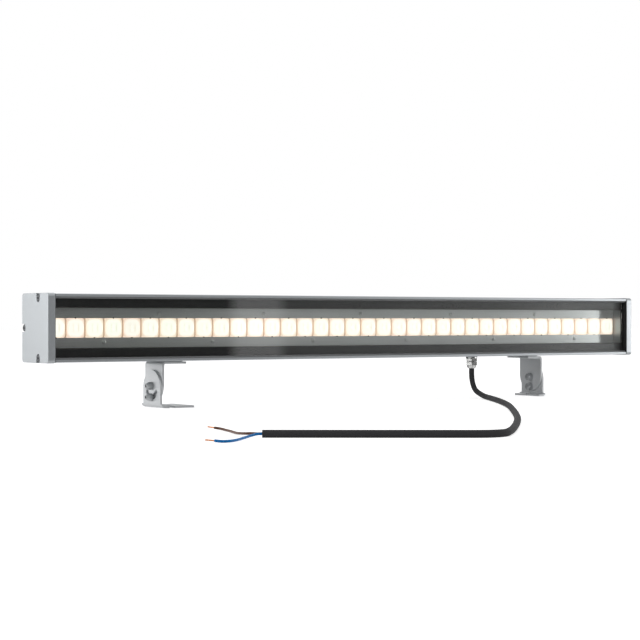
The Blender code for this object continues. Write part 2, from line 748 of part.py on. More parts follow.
def make_foot(side, name, reach, slot, parent):
    """A foot: an angle plate with a round top, a curved slot and a slot in its flange."""
    outer = arm_plane + gap / 2 + plate_thickness
    height = pivot_height - round_end_back + arm_width / 2
    outline = angle_outline((outer, 0), (-1, 0), (0, 1), plate_thickness, (reach, height), bend_radius)
    shape = prism(mirrored(outline, side), -foot_width / 2, foot_width / 2, "y")
    foot = place_at(f"foot_{name}", shape, aluminium_plate, parent, parent.location)
    boolean(foot, corner_tool(side, 1))
    waist = [block((side * (outer + wall), sign * foot_width, plate_thickness + bend_radius),
                   (side * (outer - plate_thickness - wall), sign * arm_width / 2, pivot_height + wall))
             for sign in (-1, 1)]
    boolean(foot, merged(waist))
    start, end = side * (outer - plate_thickness - wall), side * (outer + wall)
    hole = prism(circle((0, pivot_height), tilt_bolt_radius + bore_clearance, 20), start, end, "x")
    boolean(foot, merged([hole, prism(arc_slot(), start, end, "x")]))
    boolean(foot, prism(slot, -wall, plate_thickness + wall, "z"))


def left_slot():
    """The fixing slot of the left foot, open at the front."""
    x, y = -(arm_plane + gap / 2 + plate_thickness - left_slot_inset), -foot_width / 2
    half = left_slot_width / 2
    arc = circle((x, y + left_slot_length - half), half, 12, 0, math.pi)
    return [(x - half, y - wall), (x + half, y - wall)] + arc


def right_slot():
    """The fixing slot of the right foot, open at the inner edge of its short flange."""
    x = arm_plane + gap / 2 + plate_thickness - right_foot_reach
    half = right_slot_width / 2
    arc = circle((x + right_slot_length - half, 0), half, 12, -math.pi / 2, math.pi)
    return arc + [(x - wall, half), (x - wall, -half)]


def arc_slot():
    """The curved slot that the lock bolt runs in, centred straight below the pivot."""
    half = tilt_bolt_radius + slot_clearance
    swing = tilt_limit + slot_spare
    low, high = -math.pi / 2 - swing, -math.pi / 2 + swing
    pivot = (0, pivot_height)
    ends = [polar(pivot, lock_radius, angle) for angle in (low, high)]
    points = circle(pivot, lock_radius + half, 16, low, 2 * swing)
    points += circle(ends[1], half, 8, high, math.pi)[1:-1]
    points += circle(pivot, lock_radius - half, 16, high, -2 * swing)
    points += circle(ends[0], half, 8, low + math.pi, math.pi)[1:-1]
    return points


def make_gland(parent):
    centre = (gland_x, gland_y)
    inner, outer = gland_thread_radius + bore_clearance, gland_flange_radius - gap
    ring = [(inner, 0), (outer, 0), (outer, gland_seal_thickness), (inner, gland_seal_thickness)]
    low = gland_top - gland_seal_thickness
    place("gland_washer", turned(ring, (*centre, low), (0, 0, 1), 24, True), rubber, parent)
    thread = gland_thread_length + wall + gland_seal_thickness + gap * 2
    body = [(cord_bore, 0), (gland_flats / 2 - 1 * mm, 0), (gland_flats / 2, gland_hex_height / 3),
            (gland_flats / 2, gland_hex_height), (gland_flange_radius, gland_hex_height),
            (gland_flange_radius, gland_hex_height + gland_flange_height),
            (gland_thread_radius, gland_hex_height + gland_flange_height),
            (gland_thread_radius, gland_hex_height + gland_flange_height + thread - wall),
            (cord_bore, gland_hex_height + gland_flange_height + thread - wall)]
    base = gland_hex_top - gland_flange_height - gland_hex_height
    place("gland_body", turned(body, (*centre, base), (0, 0, 1), 24, True), nickel, parent)
    nut = prism(hexagon(centre, gland_flats), gland_bottom + gland_nut_height / 2, gland_nut_top, "z",
                [circle(centre, cord_bore, 24)])
    nut = place("gland_nut", nut, nickel, parent)
    mid = gland_nut_height * 0.6
    dome = [(cord_bore, 0), (gland_nut_end_radius - 1 * mm, 0), (gland_nut_end_radius, 1 * mm),
            (gland_flats / 2 - 0.6 * mm, mid - 1 * mm), (gland_flats / 2 - 0.3 * mm, mid), (cord_bore, mid)]
    boolean(nut, turned(dome, (*centre, gland_bottom), (0, 0, 1), 24, True), "UNION")
    inside = body_bottom + wall + gap
    lock = prism(hexagon(centre, lock_nut_flats), inside, inside + lock_nut_height, "z",
                 [circle(centre, gland_thread_radius + bore_clearance, 24)])
    place("gland_lock_nut", lock, nickel, parent)


def smooth_route(points, step):
    """Points at even steps along a smooth curve through a route given in millimetres."""
    route = [Vector(p) * mm for p in points]
    ends = [route[0] * 2 - route[1]] + route + [route[-1] * 2 - route[-2]]
    fine = []
    for a, b, c, d in zip(ends, ends[1:], ends[2:], ends[3:]):
        for i in range(24):
            t = i / 24
            fine.append(0.5 * (2 * b + (c - a) * t + (2 * a - 5 * b + 4 * c - d) * t * t
                               + (3 * b - a - 3 * c + d) * t ** 3))
    fine.append(route[-1])
    length = sum((q - p).length for p, q in zip(fine, fine[1:]))
    count = max(2, round(length / step))
    even, walked, target = [fine[0]], 0.0, length / count
    for p, q in zip(fine, fine[1:]):
        part = (q - p).length
        while walked + part >= target * len(even) and len(even) < count:
            even.append(p.lerp(q, (target * len(even) - walked) / part))
        walked += part
    return even + [fine[-1]]


def tube(name, points, radius, material, parent, resolution=2):
    """A round cord along a list of points, with closed ends."""
    curve = bpy.data.curves.new(name, "CURVE")
    curve.dimensions = "3D"
    curve.bevel_depth = radius
    curve.bevel_resolution = resolution
    curve.use_fill_caps = True
    spline = curve.splines.new("POLY")
    spline.points.add(len(points) - 1)
    for knot, point in zip(spline.points, points):
        knot.co = (*point, 1.0)
    curve.materials.append(material)
    item = bpy.data.objects.new(name, curve)
    bpy.context.scene.collection.objects.link(item)
    if parent:
        item.parent = parent
        item.location = -parent.location
    return item


def held_above(points, height):
    """The same points, none lower than a height."""
    return [Vector((p.x, p.y, max(p.z, height))) for p in points]


def make_cord(parent):
    """The supply cord on the floor, and the two stripped wires at its end."""
    start = Vector(cord_route[0]) * mm
    points = held_above(smooth_route(cord_route[1:], 4 * cord_radius), cord_rest)
    tube("supply_cord", [start] + points, cord_radius, cord_black, parent)
    for name, route, colour in (("brown", brown_route, wire_brown), ("blue", blue_route, wire_blue)):
        side = 1 if name == "brown" else -1
        points = held_above(smooth_route(route, 5 * wire_radius), wire_rest)
        fade = [max(0.0, 1 - i / 3) for i in range(len(points))]
        along = (points[1] - points[0]).normalized()
        across = Vector((along.y, -along.x, 0)) * wire_spread * side
        points = [p + across * f for p, f in zip(points, fade)]
        tube(f"wire_{name}", points, wire_radius, colour, parent)
        end = points[-1]
        out = (end - points[-2]).normalized()
        bare = [end + out * (gap + copper_length * i / 3) for i in range(4)]
        tube(f"copper_{name}", bare, copper_radius, copper, parent, 2)


def make_inner_wires(parent):
    """The cord's inner end, and the wires between terminal block, driver and boards."""
    seat = web_back + gap
    top = body_centre - terminal_height / 2
    port_y = seat + terminal_depth / 2
    straight = body_bottom + gland_thread_length
    lead = [Vector((gland_x, gland_y, gland_bottom)), Vector((gland_x, gland_y, straight)),
            Vector((gland_x, gland_y, straight + cord_radius)),
            Vector((gland_x - 3 * mm, gland_y + 5 * mm, straight + 4 * cord_radius)),
            Vector((gland_x - 12 * mm, port_y + 4 * mm, straight + 6 * cord_radius)),
            Vector((gland_x - 22 * mm, port_y + 6 * mm, straight + 6 * cord_radius))]
    lead = smooth_route([p / mm for p in lead], 2.5 * cord_radius)
    tube("inner_lead", lead, cord_radius, cord_black, parent)
    end = lead[-1]
    out = (end - lead[-2]).normalized()
    for i, (name, colour) in enumerate((("brown", wire_brown), ("blue", wire_blue))):
        x = terminal_x + terminal_offsets()[2 - i]
        start = end + out * gap + Vector((0, 0, (0.5 - i) * 2 * wire_spread))
        turn = Vector((x, port_y, top - (2 + 2 * i) * 2 * wire_radius))
        route = [start, start.lerp(turn, 0.5) + Vector((0, 2 * wire_radius, 0)), turn,
                 Vector((x, port_y, top - gap))]
        tube(f"inner_wire_{name}", smooth_route([p / mm for p in route], 5 * wire_radius), wire_radius,
             colour, parent)


for item in list(bpy.data.objects):
    bpy.data.objects.remove(item, do_unlink=True)

aluminium = finish("anodised_aluminium", "A9ADB0", 0.42, 0.85)
aluminium_plate = finish("bracket_aluminium", "B4B8BA", 0.45, 0.8)
cap_grey = finish("cap_painted_grey", "B9BDC0", 0.5, 0.3)
stainless = finish("stainless_steel", "9DA0A2", 0.3, 1.0)
nickel = finish("nickel_plated_brass", "B8B4AA", 0.25, 1.0)
rubber = finish("black_rubber", "1B1B1C", 0.8)
black_paint = finish("black_painted_steel", "1E1F20", 0.5)
grey_paint = finish("grey_metal_strip", "8B8E90", 0.45, 0.4)
glass = finish("clear_glass", "E8F0EE", 0.05)
lens_clear = finish("lens_acrylic", "FFF8E6", 0.15)
board_white = finish("board_white", "E6E6E0", 0.5)
driver_grey = finish("driver_case", "6F7376", 0.5)
terminal_white = finish("terminal_polyamide", "D9D9D2", 0.5)
cord_black = finish("cord_rubber", "2A2A2C", 0.6)
wire_brown = finish("wire_brown", "7A4526", 0.45)
wire_blue = finish("wire_blue", "1670B8", 0.45)
copper = finish("bare_copper", "C98A5A", 0.3, 1.0)

luminaire = bpy.data.objects.new("luminaire", None)
luminaire.location = (0, 0, body_centre)
bpy.context.scene.collection.objects.link(luminaire)
tilt_axes = {}
for axis_side, axis_name in ((-1, "left"), (1, "right")):
    axis_empty = bpy.data.objects.new(f"tilt_axis_{axis_name}", None)
    axis_empty.location = (axis_side * arm_plane, 0, pivot_height)
    bpy.context.scene.collection.objects.link(axis_empty)
    tilt_axes[axis_name] = axis_empty

make_housing(luminaire)
make_end(-1, "left", luminaire)
make_end(1, "right", luminaire)
make_glass(luminaire)
make_trims(luminaire)
make_modules(luminaire)
make_driver(luminaire)
make_bracket(-1, "left", left_upper_reach, luminaire)
make_bracket(1, "right", right_upper_reach, luminaire)
make_foot(-1, "left", left_foot_reach, left_slot(), tilt_axes["left"])
make_foot(1, "right", right_foot_reach, right_slot(), tilt_axes["right"])
make_gland(luminaire)
make_inner_wires(luminaire)
make_cord(luminaire)
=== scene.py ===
import math

import bmesh
import bpy
from mathutils import Matrix, Vector


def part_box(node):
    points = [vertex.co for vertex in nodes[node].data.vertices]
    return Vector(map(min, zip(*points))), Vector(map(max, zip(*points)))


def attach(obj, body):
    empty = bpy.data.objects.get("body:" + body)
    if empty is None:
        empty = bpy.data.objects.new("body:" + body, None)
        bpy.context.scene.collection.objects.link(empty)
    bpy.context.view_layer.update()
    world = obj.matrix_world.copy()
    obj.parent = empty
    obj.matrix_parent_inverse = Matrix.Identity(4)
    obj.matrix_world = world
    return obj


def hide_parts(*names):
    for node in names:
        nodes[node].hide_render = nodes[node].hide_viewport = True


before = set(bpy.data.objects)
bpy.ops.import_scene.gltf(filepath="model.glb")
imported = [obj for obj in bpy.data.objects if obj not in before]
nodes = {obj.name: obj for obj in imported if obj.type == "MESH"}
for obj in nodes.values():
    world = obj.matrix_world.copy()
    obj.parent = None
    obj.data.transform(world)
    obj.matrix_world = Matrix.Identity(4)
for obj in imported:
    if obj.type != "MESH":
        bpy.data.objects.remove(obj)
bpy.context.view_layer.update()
scene = bpy.context.scene
scene.view_settings.view_transform = "Standard"
mm = 0.001
sameSpot = 1e-6                    # points closer than this, in metres, are one
print("frame loaded:", len(nodes), "nodes")


def hexToLinear(code):
    # an sRGB hex colour as linear RGBA
    parts = [int(code[i:i + 2], 16) / 255 for i in (0, 2, 4)]
    return [p / 12.92 if p <= 0.04045 else ((p + 0.055) / 1.055) ** 2.4 for p in parts] + [1.0]


def setInputs(tree, node, inputs):
    # a socket is linked, a number or colour is set on the input itself
    for key, value in inputs.items():
        if isinstance(value, bpy.types.NodeSocket):
            tree.links.new(value, node.inputs[key])
        else:
            node.inputs[key].default_value = value


def addNode(tree, kind, inputs=None, stops=None, **settings):
    node = tree.nodes.new("ShaderNode" + kind)
    for key, value in settings.items():
        setattr(node, key, value)
    setInputs(tree, node, inputs or {})
    if stops:                      # colour ramp stops as (place, hex colour)
        ramp = node.color_ramp
        while len(ramp.elements) < len(stops):
            ramp.elements.new(0.5)
        for element, (place, code) in zip(ramp.elements, stops):
            element.position, element.color = place, hexToLinear(code)
    return node


def newMaterial(name, **inputs):
    # a Principled material, with its tree, shader and Object coordinates to build on
    material = bpy.data.materials.new(name)
    material.use_nodes = True
    tree = material.node_tree
    shader = tree.nodes["Principled BSDF"]
    for key, value in inputs.items():
        shader.inputs[key.replace("_", " ")].default_value = value
    return material, tree, shader, addNode(tree, "TexCoord").outputs["Object"]


def roundEdges(shape, width, segments=2, angle=30, pick=None):
    # bevels the sharp edges of a shape; pick leaves some out
    edges = [e for e in shape.edges if len(e.link_faces) == 2
             and e.calc_face_angle(0) > math.radians(angle) and (pick is None or pick(e))]
    bmesh.ops.bevel(shape, geom=edges, offset=width, offset_type="OFFSET", segments=segments,
                    profile=0.5, affect="EDGES", clamp_overlap=True, material=-1)


def cadShape(nodeName):
    # a CAD node's mesh as clean faces, ready to be rounded
    shape = bmesh.new()
    shape.from_mesh(nodes[nodeName].data)
    bmesh.ops.remove_doubles(shape, verts=shape.verts, dist=2 * sameSpot)
    bmesh.ops.dissolve_limit(shape, angle_limit=math.radians(0.6), verts=shape.verts,
                             edges=shape.edges, delimit=set())
    return shape


def toMesh(shape, name="step"):
    # a finished bmesh, used up, as a mesh
    mesh = bpy.data.meshes.new(name)
    shape.to_mesh(mesh)
    shape.free()
    return mesh


def addObject(name, shape, material):
    mesh = toMesh(shape, name)
    mesh.materials.append(material)
    item = bpy.data.objects.new(name, mesh)
    scene.collection.objects.link(item)
    return item


def addPiece(name, shape, material, body="luminaire", replaced=(), smooth=35):
    # turns a finished bmesh into a piece that rides on its body; broad faces keep flat normals
    item = addObject(name, shape, material)
    item.data.shade_smooth()
    item.data.set_sharp_from_angle(angle=math.radians(smooth))
    flatten = item.modifiers.new("broadFaces", "WEIGHTED_NORMAL")
    flatten.keep_sharp = True
    return dressPiece(item, body, replaced)


def dressPiece(item, body, replaced):
    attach(item, body)
    if replaced:
        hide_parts(*replaced)
    return item


def softened(name, nodeName, material, width, segments=2, body="luminaire", smooth=35):
    # a CAD node with its sharp edges rounded
    shape = cadShape(nodeName)
    roundEdges(shape, width, segments)
    return addPiece(name, shape, material, body, (nodeName,), smooth)


def dressNode(nodeName, material):
    # a CAD node whose shape is right keeps it and gets its material
    nodes[nodeName].data.materials.clear()
    nodes[nodeName].data.materials.append(material)


def turnedShape(profile, segments=40):
    # spins (radius, height) points round Z into a closed shape
    shape = bmesh.new()
    verts = [shape.verts.new((r, 0, h)) for r, h in profile]
    edges = [shape.edges.new(pair) for pair in zip(verts, verts[1:])]
    bmesh.ops.spin(shape, geom=verts + edges, cent=(0, 0, 0), axis=(0, 0, 1),
                   angle=math.tau, steps=segments, use_merge=True)
    bmesh.ops.remove_doubles(shape, verts=shape.verts, dist=sameSpot)
    bmesh.ops.dissolve_degenerate(shape, edges=shape.edges, dist=sameSpot)
    bmesh.ops.recalc_face_normals(shape, faces=shape.faces)
    return shape


def drawnOut(shape, travel):
    # extrudes one flat face into a closed bar
    grown = bmesh.ops.extrude_face_region(shape, geom=shape.faces[:])
    ends = [v for v in grown["geom"] if isinstance(v, bmesh.types.BMVert)]
    bmesh.ops.translate(shape, verts=ends, vec=travel)
    bmesh.ops.recalc_face_normals(shape, faces=shape.faces)
    return shape


def hexPrism(flats, low, high):
    # a hexagon bar between two heights, by its size across flats
    shape = bmesh.new()
    bmesh.ops.create_circle(shape, cap_ends=True, radius=flats / math.sqrt(3), segments=6)
    bmesh.ops.translate(shape, verts=shape.verts, vec=(0, 0, low))
    return drawnOut(shape, (0, 0, high - low))


def barShape(low, high):
    # a bar between two corners
    low, high = Vector(low), Vector(high)
    shape = bmesh.new()
    bmesh.ops.create_cube(shape, size=1)
    bmesh.ops.scale(shape, verts=shape.verts, vec=high - low)
    bmesh.ops.translate(shape, verts=shape.verts, vec=(low + high) / 2)
    return shape


def sectionBar(outline, start, end):
    # extrudes a (y, z) outline along X
    shape = bmesh.new()
    shape.faces.new([shape.verts.new((start, y, z)) for y, z in outline])
    return drawnOut(shape, (end - start, 0, 0))


def joined(*shapes):
    # several shapes in one bmesh
    whole = bmesh.new()
    for shape in shapes:
        mesh = toMesh(shape)
        whole.from_mesh(mesh)
        bpy.data.meshes.remove(mesh)
    return whole


def cutShape(shape, other, operation="DIFFERENCE"):
    # one Boolean step between two shapes, used up at once
    items = []
    for part in (shape, other):
        items.append(bpy.data.objects.new("step", toMesh(part)))
        scene.collection.objects.link(items[-1])
    step = items[0].modifiers.new("cut", "BOOLEAN")
    step.operation, step.solver, step.object = operation, "EXACT", items[1]
    bpy.context.view_layer.update()
    whole = bmesh.new()
    whole.from_object(items[0], bpy.context.evaluated_depsgraph_get())
    for item in items:
        bpy.data.meshes.remove(item.data)
    bmesh.ops.remove_doubles(whole, verts=whole.verts, dist=sameSpot)
    bmesh.ops.dissolve_degenerate(whole, edges=whole.edges, dist=sameSpot)
    return whole


def copiesAt(shape, places):
    # copies of one shape: each place is (point, direction that the shape's +Z turns to)
    whole = bmesh.new()
    mesh = toMesh(shape)
    for point, direction in places:
        known = set(whole.verts)
        whole.from_mesh(mesh)
        fresh = [v for v in whole.verts if v not in known]
        turn = Vector((0, 0, 1)).rotation_difference(Vector(direction)).to_matrix()
        bmesh.ops.rotate(whole, verts=fresh, cent=(0, 0, 0), matrix=turn)
        bmesh.ops.translate(whole, verts=fresh, vec=point)
    bpy.data.meshes.remove(mesh)
    return whole


def headPlace(nodeName, axis, sign):
    # where a screw's head ends, the way it faces and how long the whole screw is
    low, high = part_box(nodeName)
    point = (low + high) / 2
    point[axis] = high[axis] if sign > 0 else low[axis]
    direction = Vector((0, 0, 0))
    direction[axis] = sign
    return point, direction, high[axis] - low[axis]


photoCamera = {"place": (-1.3875, -2.024, 0.117), "turn": 33.2, "lens": 95.6, "sensor": 36.0,
               "clip": (0.05, 60)}
studio = {
    "worldLight": 0.40,            # even light from all round
    "worldSeen": 1.0,              # what the camera, metal and glass see
    "floorColour": "F4F4F4",
    "floorGlow": 0.74,             # lifts the floor to clear white for the camera
    "floorSize": 30.0,
    "lamps": {                     # place, aim, watts, width, height
        "keyRight": ((1.32, -0.75, 0.16), (0.49, -0.04, 0.107), 1.7, 0.24, 0.4),
        "sideLeft": ((-1.25, 0.45, 0.20), (-0.45, 0.0, 0.06), 3.6, 0.6, 0.3),
        "topFill": ((-0.2, 0.5, 2.2), (0.0, 0.0, 0.1), 8.0, 1.6, 0.6),
    },
}
softbox = {                        # what the front glass and the metal mirror
    "y": -6.0, "left": -6.0, "right": 14.0, "low": -1.2, "high": 1.5,
    "levels": [                    # (x in metres, brightness), read from left to right
        (-6.0, 0.10), (3.27, 0.13), (3.29, 1.1), (3.565, 1.1), (3.575, 0.38), (4.38, 0.52),
        (5.12, 0.60), (5.60, 0.86), (5.92, 0.82), (6.06, 0.70), (6.10, 0.05), (6.16, 0.05),
        (6.22, 2.4), (14.0, 2.4),
    ],
    "peak": 3.0,                   # the brightness at the curve's own 1
}
flag = {"place": (0.12, 0.25, 0.10), "turn": 40.5, "width": 0.42, "height": 0.36}


def makeCamera():
    data = bpy.data.cameras.new("photoCamera")
    data.lens, data.sensor_width = photoCamera["lens"], photoCamera["sensor"]
    data.clip_start, data.clip_end = photoCamera["clip"]
    item = bpy.data.objects.new("photoCamera", data)
    scene.collection.objects.link(item)
    item.location = photoCamera["place"]
    item.rotation_euler = (math.radians(90), 0, math.radians(-photoCamera["turn"]))
    scene.camera = item


def firstSight(tree):
    # 1 for camera, glossy and transmission rays that have met no matt surface yet
    path = addNode(tree, "LightPath")
    seen = path.outputs["Is Camera Ray"]
    for kind in ("Is Glossy Ray", "Is Transmission Ray"):
        seen = addNode(tree, "Math", {0: seen, 1: path.outputs[kind]}, operation="MAXIMUM").outputs[0]
    fresh = addNode(tree, "Math", {0: path.outputs["Diffuse Depth"], 1: 0.5}, operation="LESS_THAN")
    return addNode(tree, "Math", {0: seen, 1: fresh.outputs[0]}, operation="MULTIPLY").outputs[0]


def makeWorld():
    world = bpy.data.worlds.new("studioWhite")
    world.use_nodes = True
    tree = world.node_tree
    background = tree.nodes["Background"]
    level = addNode(tree, "MapRange", {"Value": firstSight(tree), "To Min": studio["worldLight"],
                                       "To Max": studio["worldSeen"]})
    setInputs(tree, background, {"Color": (1, 1, 1, 1), "Strength": level.outputs[0]})
    scene.world = world


def makeFloor():
    shape = bmesh.new()
    bmesh.ops.create_grid(shape, x_segments=1, y_segments=1, size=studio["floorSize"] / 2)
    material, tree, shader, _ = newMaterial("paleFloor", Roughness=0.9, Specular_IOR_Level=0.1)
    path = addNode(tree, "LightPath")
    glow = addNode(tree, "Math", {0: path.outputs["Is Camera Ray"], 1: studio["floorGlow"]},
                   operation="MULTIPLY")
    setInputs(tree, shader, {"Base Color": hexToLinear(studio["floorColour"]),
                             "Emission Color": (1, 1, 1, 1), "Emission Strength": glow.outputs[0]})
    floor = addObject("floor", shape, material)
    floor.visible_glossy = floor.visible_transmission = False   # metal and glass mirror the room


def standingCard(width, height):
    # a flat card that stands upright across Y
    shape = bmesh.new()
    bmesh.ops.create_grid(shape, x_segments=1, y_segments=1, size=0.5)
    upright = Matrix.Rotation(math.radians(90), 3, "X")
    bmesh.ops.rotate(shape, verts=shape.verts, cent=(0, 0, 0), matrix=upright)
    bmesh.ops.scale(shape, verts=shape.verts, vec=(width, 1, height))
    return shape


def makeSoftbox():
    left, right, low, high, peak = (softbox[k] for k in ("left", "right", "low", "high", "peak"))
    span = right - left
    shape = standingCard(span, high - low)
    middle = ((right + left) / 2, softbox["y"], (high + low) / 2)
    bmesh.ops.translate(shape, verts=shape.verts, vec=middle)
    material = bpy.data.materials.new("softboxCloth")
    material.use_nodes = True
    tree = material.node_tree
    tree.nodes.clear()
    across = addNode(tree, "SeparateXYZ", {0: addNode(tree, "TexCoord").outputs["Object"]})
    place = addNode(tree, "MapRange", {"Value": across.outputs["X"], "From Min": left, "From Max": right})
    curve = addNode(tree, "FloatCurve", {"Value": place.outputs[0]})
    points = curve.mapping.curves[0].points
    for i, (x, level) in enumerate(softbox["levels"]):
        spot = ((x - left) / span, level / peak)
        if i in (0, 1):
            points[i].location = spot
        else:
            points.new(*spot)
    for point in points:
        point.handle_type = "VECTOR"
    curve.mapping.update()
    seen = addNode(tree, "Math", {0: curve.outputs[0], 1: firstSight(tree)}, operation="MULTIPLY")
    strength = addNode(tree, "Math", {0: seen.outputs[0], 1: peak}, operation="MULTIPLY")
    glow = addNode(tree, "Emission", {"Strength": strength.outputs[0]})
    addNode(tree, "OutputMaterial", {"Surface": glow.outputs[0]})
    wall = addObject("softbox", shape, material)
    wall.visible_camera = wall.visible_diffuse = wall.visible_shadow = False


def makeFlag():
    # a dark card behind the light: only the right bracket's left face mirrors it
    material, tree, shader, _ = newMaterial("blackCloth", Roughness=0.9, Specular_IOR_Level=0.0)
    setInputs(tree, shader, {"Base Color": hexToLinear("0C0C0C")})
    card = addObject("darkCard", standingCard(flag["width"], flag["height"]), material)
    card.location = flag["place"]
    card.rotation_euler = (0, 0, math.radians(flag["turn"]))
    card.visible_camera = card.visible_diffuse = card.visible_shadow = card.visible_transmission = False


def makeLamps():
    for name, (place, aim, watts, width, height) in studio["lamps"].items():
        data = bpy.data.lights.new(name, "AREA")
        data.shape, data.size, data.size_y, data.energy = "RECTANGLE", width, height, watts
        item = bpy.data.objects.new(name, data)
        scene.collection.objects.link(item)
        item.location = place
        item.rotation_euler = (Vector(aim) - Vector(place)).to_track_quat("-Z", "Y").to_euler()


makeCamera()
makeWorld()
makeFloor()
makeSoftbox()
makeFlag()
makeLamps()
print("camera and studio ready")


cord = {                           # routes are in millimetres; "rest" is a centreline's least height
    "radius": 4 * mm, "rest": 4.05 * mm, "step": 1.2 * mm,
    "route": [
        (212.4, 2, 43.7), (212.4, 2, 37), (212, 0.8, 29), (210.8, -2.7, 21.7),
        (208.9, -8.2, 15.8), (206.7, -14.5, 12), (203.8, -23, 9.2), (200.1, -34, 7),
        (193.5, -48.5, 5.4), (184.6, -65.4, 4.5), (165, -102, 4.05), (118, -180.5, 4.05),
        (56.5, -273.5, 4.05), (-24, -381.5, 4.05), (-117, -500.5, 4.05), (-193, -590, 4.05),
        (-255, -658.5, 4.05), (-283, -686.7, 4.05), (-291.2, -694.7, 4.05), (-300.5, -701.1, 4.05),
        (-311.2, -704.2, 4.05), (-322.4, -703.4, 4.05), (-332.8, -699, 4.05), (-342.3, -692.8, 4.05),
        (-364.5, -678.4, 4.05), (-422, -639.7, 4.05), (-468, -609, 4.05), (-511.2, -580.1, 4.05),
    ],
}
wires = {
    "radius": 1.4 * mm, "rest": 1.45 * mm, "spread": 1.75 * mm, "gap": 0.3 * mm, "tuck": 1 * mm,
    "step": 0.6 * mm, "coarseStep": 5, "closing": 3,     # the coarse step is in radii, closing in such steps
    "brown": {"side": 1, "route": [
        (-512.3, -579.4, 4.05), (-515.3, -576.8, 4.0), (-516.9, -566.5, 3.8), (-517, -555, 3.1),
        (-511.5, -531, 2.0), (-498.6, -496, 1.5), (-492.4, -474.5, 1.5), (-489.9, -460, 1.9),
        (-492.3, -451.6, 2.5)]},
    "blue": {"side": -1, "route": [
        (-512.3, -579.4, 4.05), (-516.4, -577.6, 3.8), (-526, -583.4, 3.0), (-542.3, -596.5, 2.0),
        (-559, -611, 1.5), (-570.5, -618.8, 1.45), (-579.5, -619.3, 1.5), (-584, -612.8, 1.9)]},
}
innerRoutes = {                    # the cord's inner end and its two wires up to the terminal block
    "leadStep": 2 * mm, "wireStep": 1.5 * mm,
    "lead": [(212.4, 2, 44), (212.4, 2, 71.7), (212.4, 2, 75.7), (209.4, 7, 87.7), (200.4, 11.4, 95.7),
             (190.4, 13.4, 95.7)],
    "brown": [(190.1, 13.4, 97.45), (177.4, 13.2, 95.8), (164.67, 7.4, 94.1), (164.67, 7.4, 99.4)],
    "blue": [(190.1, 13.4, 93.95), (173.05, 13.2, 91.2), (156, 7.4, 88.5), (156, 7.4, 99.4)],
}
copper = {"radius": 0.8 * mm, "length": 10 * mm, "strand": 0.29 * mm, "halfTurns": 0.9,
          "twistSteps": 24, "uneven": 0.25 * mm}
spanSteps = 24                     # fine steps from one route point to the next


def smoothRoute(points, step):
    # points at even steps along a smooth curve through a route in millimetres
    route = [Vector(p) * mm for p in points]
    ends = [route[0] * 2 - route[1]] + route + [route[-1] * 2 - route[-2]]
    fine = []
    for a, b, c, d in zip(ends, ends[1:], ends[2:], ends[3:]):
        for i in range(spanSteps):
            t = i / spanSteps
            fine.append(0.5 * (2 * b + (c - a) * t + (2 * a - 5 * b + 4 * c - d) * t * t
                               + (3 * b - a - 3 * c + d) * t ** 3))
    fine.append(route[-1])
    length = sum((q - p).length for p, q in zip(fine, fine[1:]))
    count = max(2, round(length / step))
    even, walked, target = [fine[0]], 0.0, length / count
    for p, q in zip(fine, fine[1:]):
        part = (q - p).length
        while walked + part >= target * len(even) and len(even) < count:
            even.append(p.lerp(q, (target * len(even) - walked) / part))
        walked += part
    return even + [fine[-1]]


def routeLength(points):
    return sum((q - p).length for p, q in zip(points, points[1:]))


def addTube(name, points, radius, material, replaced, sides=6):
    # a round cord along its own centreline, with closed ends
    curve = bpy.data.curves.new(name, "CURVE")
    curve.dimensions, curve.bevel_depth, curve.bevel_resolution = "3D", radius, sides
    curve.use_fill_caps = True
    spline = curve.splines.new("POLY")
    spline.points.add(len(points) - 1)
    for knot, point in zip(spline.points, points):
        knot.co = (*point, 1.0)
    spline.use_smooth = True
    curve.materials.append(material)
    item = bpy.data.objects.new(name, curve)
    scene.collection.objects.link(item)
    return dressPiece(item, "luminaire", replaced)


def makeCords():
    # the supply cord lies on the floor, and two stripped wires leave its cut end
    walked = smoothRoute(cord["route"][1:], cord["step"])
    points = [Vector(cord["route"][0]) * mm] + [Vector((p.x, p.y, max(p.z, cord["rest"]))) for p in walked]
    supply = addTube("supplyCord", points, cord["radius"], pvcJacket, ["supply_cord"], 8)
    print("supply cord length", round(routeLength(points), 4))
    for name, finish in (("brown", brownInsulation), ("blue", blueInsulation)):
        makeWire(name, finish)


def makeWire(name, finish):
    # the coarse steps are those of the CAD solid, so both lie side by side in the same way
    coarse = smoothRoute(wires[name]["route"], wires["coarseStep"] * wires["radius"])
    fine = smoothRoute(wires[name]["route"], wires["step"])
    along = (coarse[1] - coarse[0]).normalized()
    across = Vector((along.y, -along.x, 0)) * wires["spread"] * wires[name]["side"]
    reach = routeLength(coarse) / (len(coarse) - 1) * wires["closing"]
    points, walked = [], 0.0
    for before, p in zip([fine[0]] + fine, fine):
        walked += (p - before).length
        low = Vector((p.x, p.y, max(p.z, wires["rest"])))
        points.append(low + across * max(0.0, 1 - walked / reach))
    points.insert(0, points[0] - along * wires["tuck"])      # the core runs on into the jacket
    wire = addTube(f"{name}Wire", points, wires["radius"], finish, [f"wire_{name}"], 6)
    out = (points[-1] - points[-2]).normalized()
    bare = makeStrands(f"{name}Copper", points[-1], out, f"copper_{name}")
    print(name, "wire length", round(routeLength(points), 4))


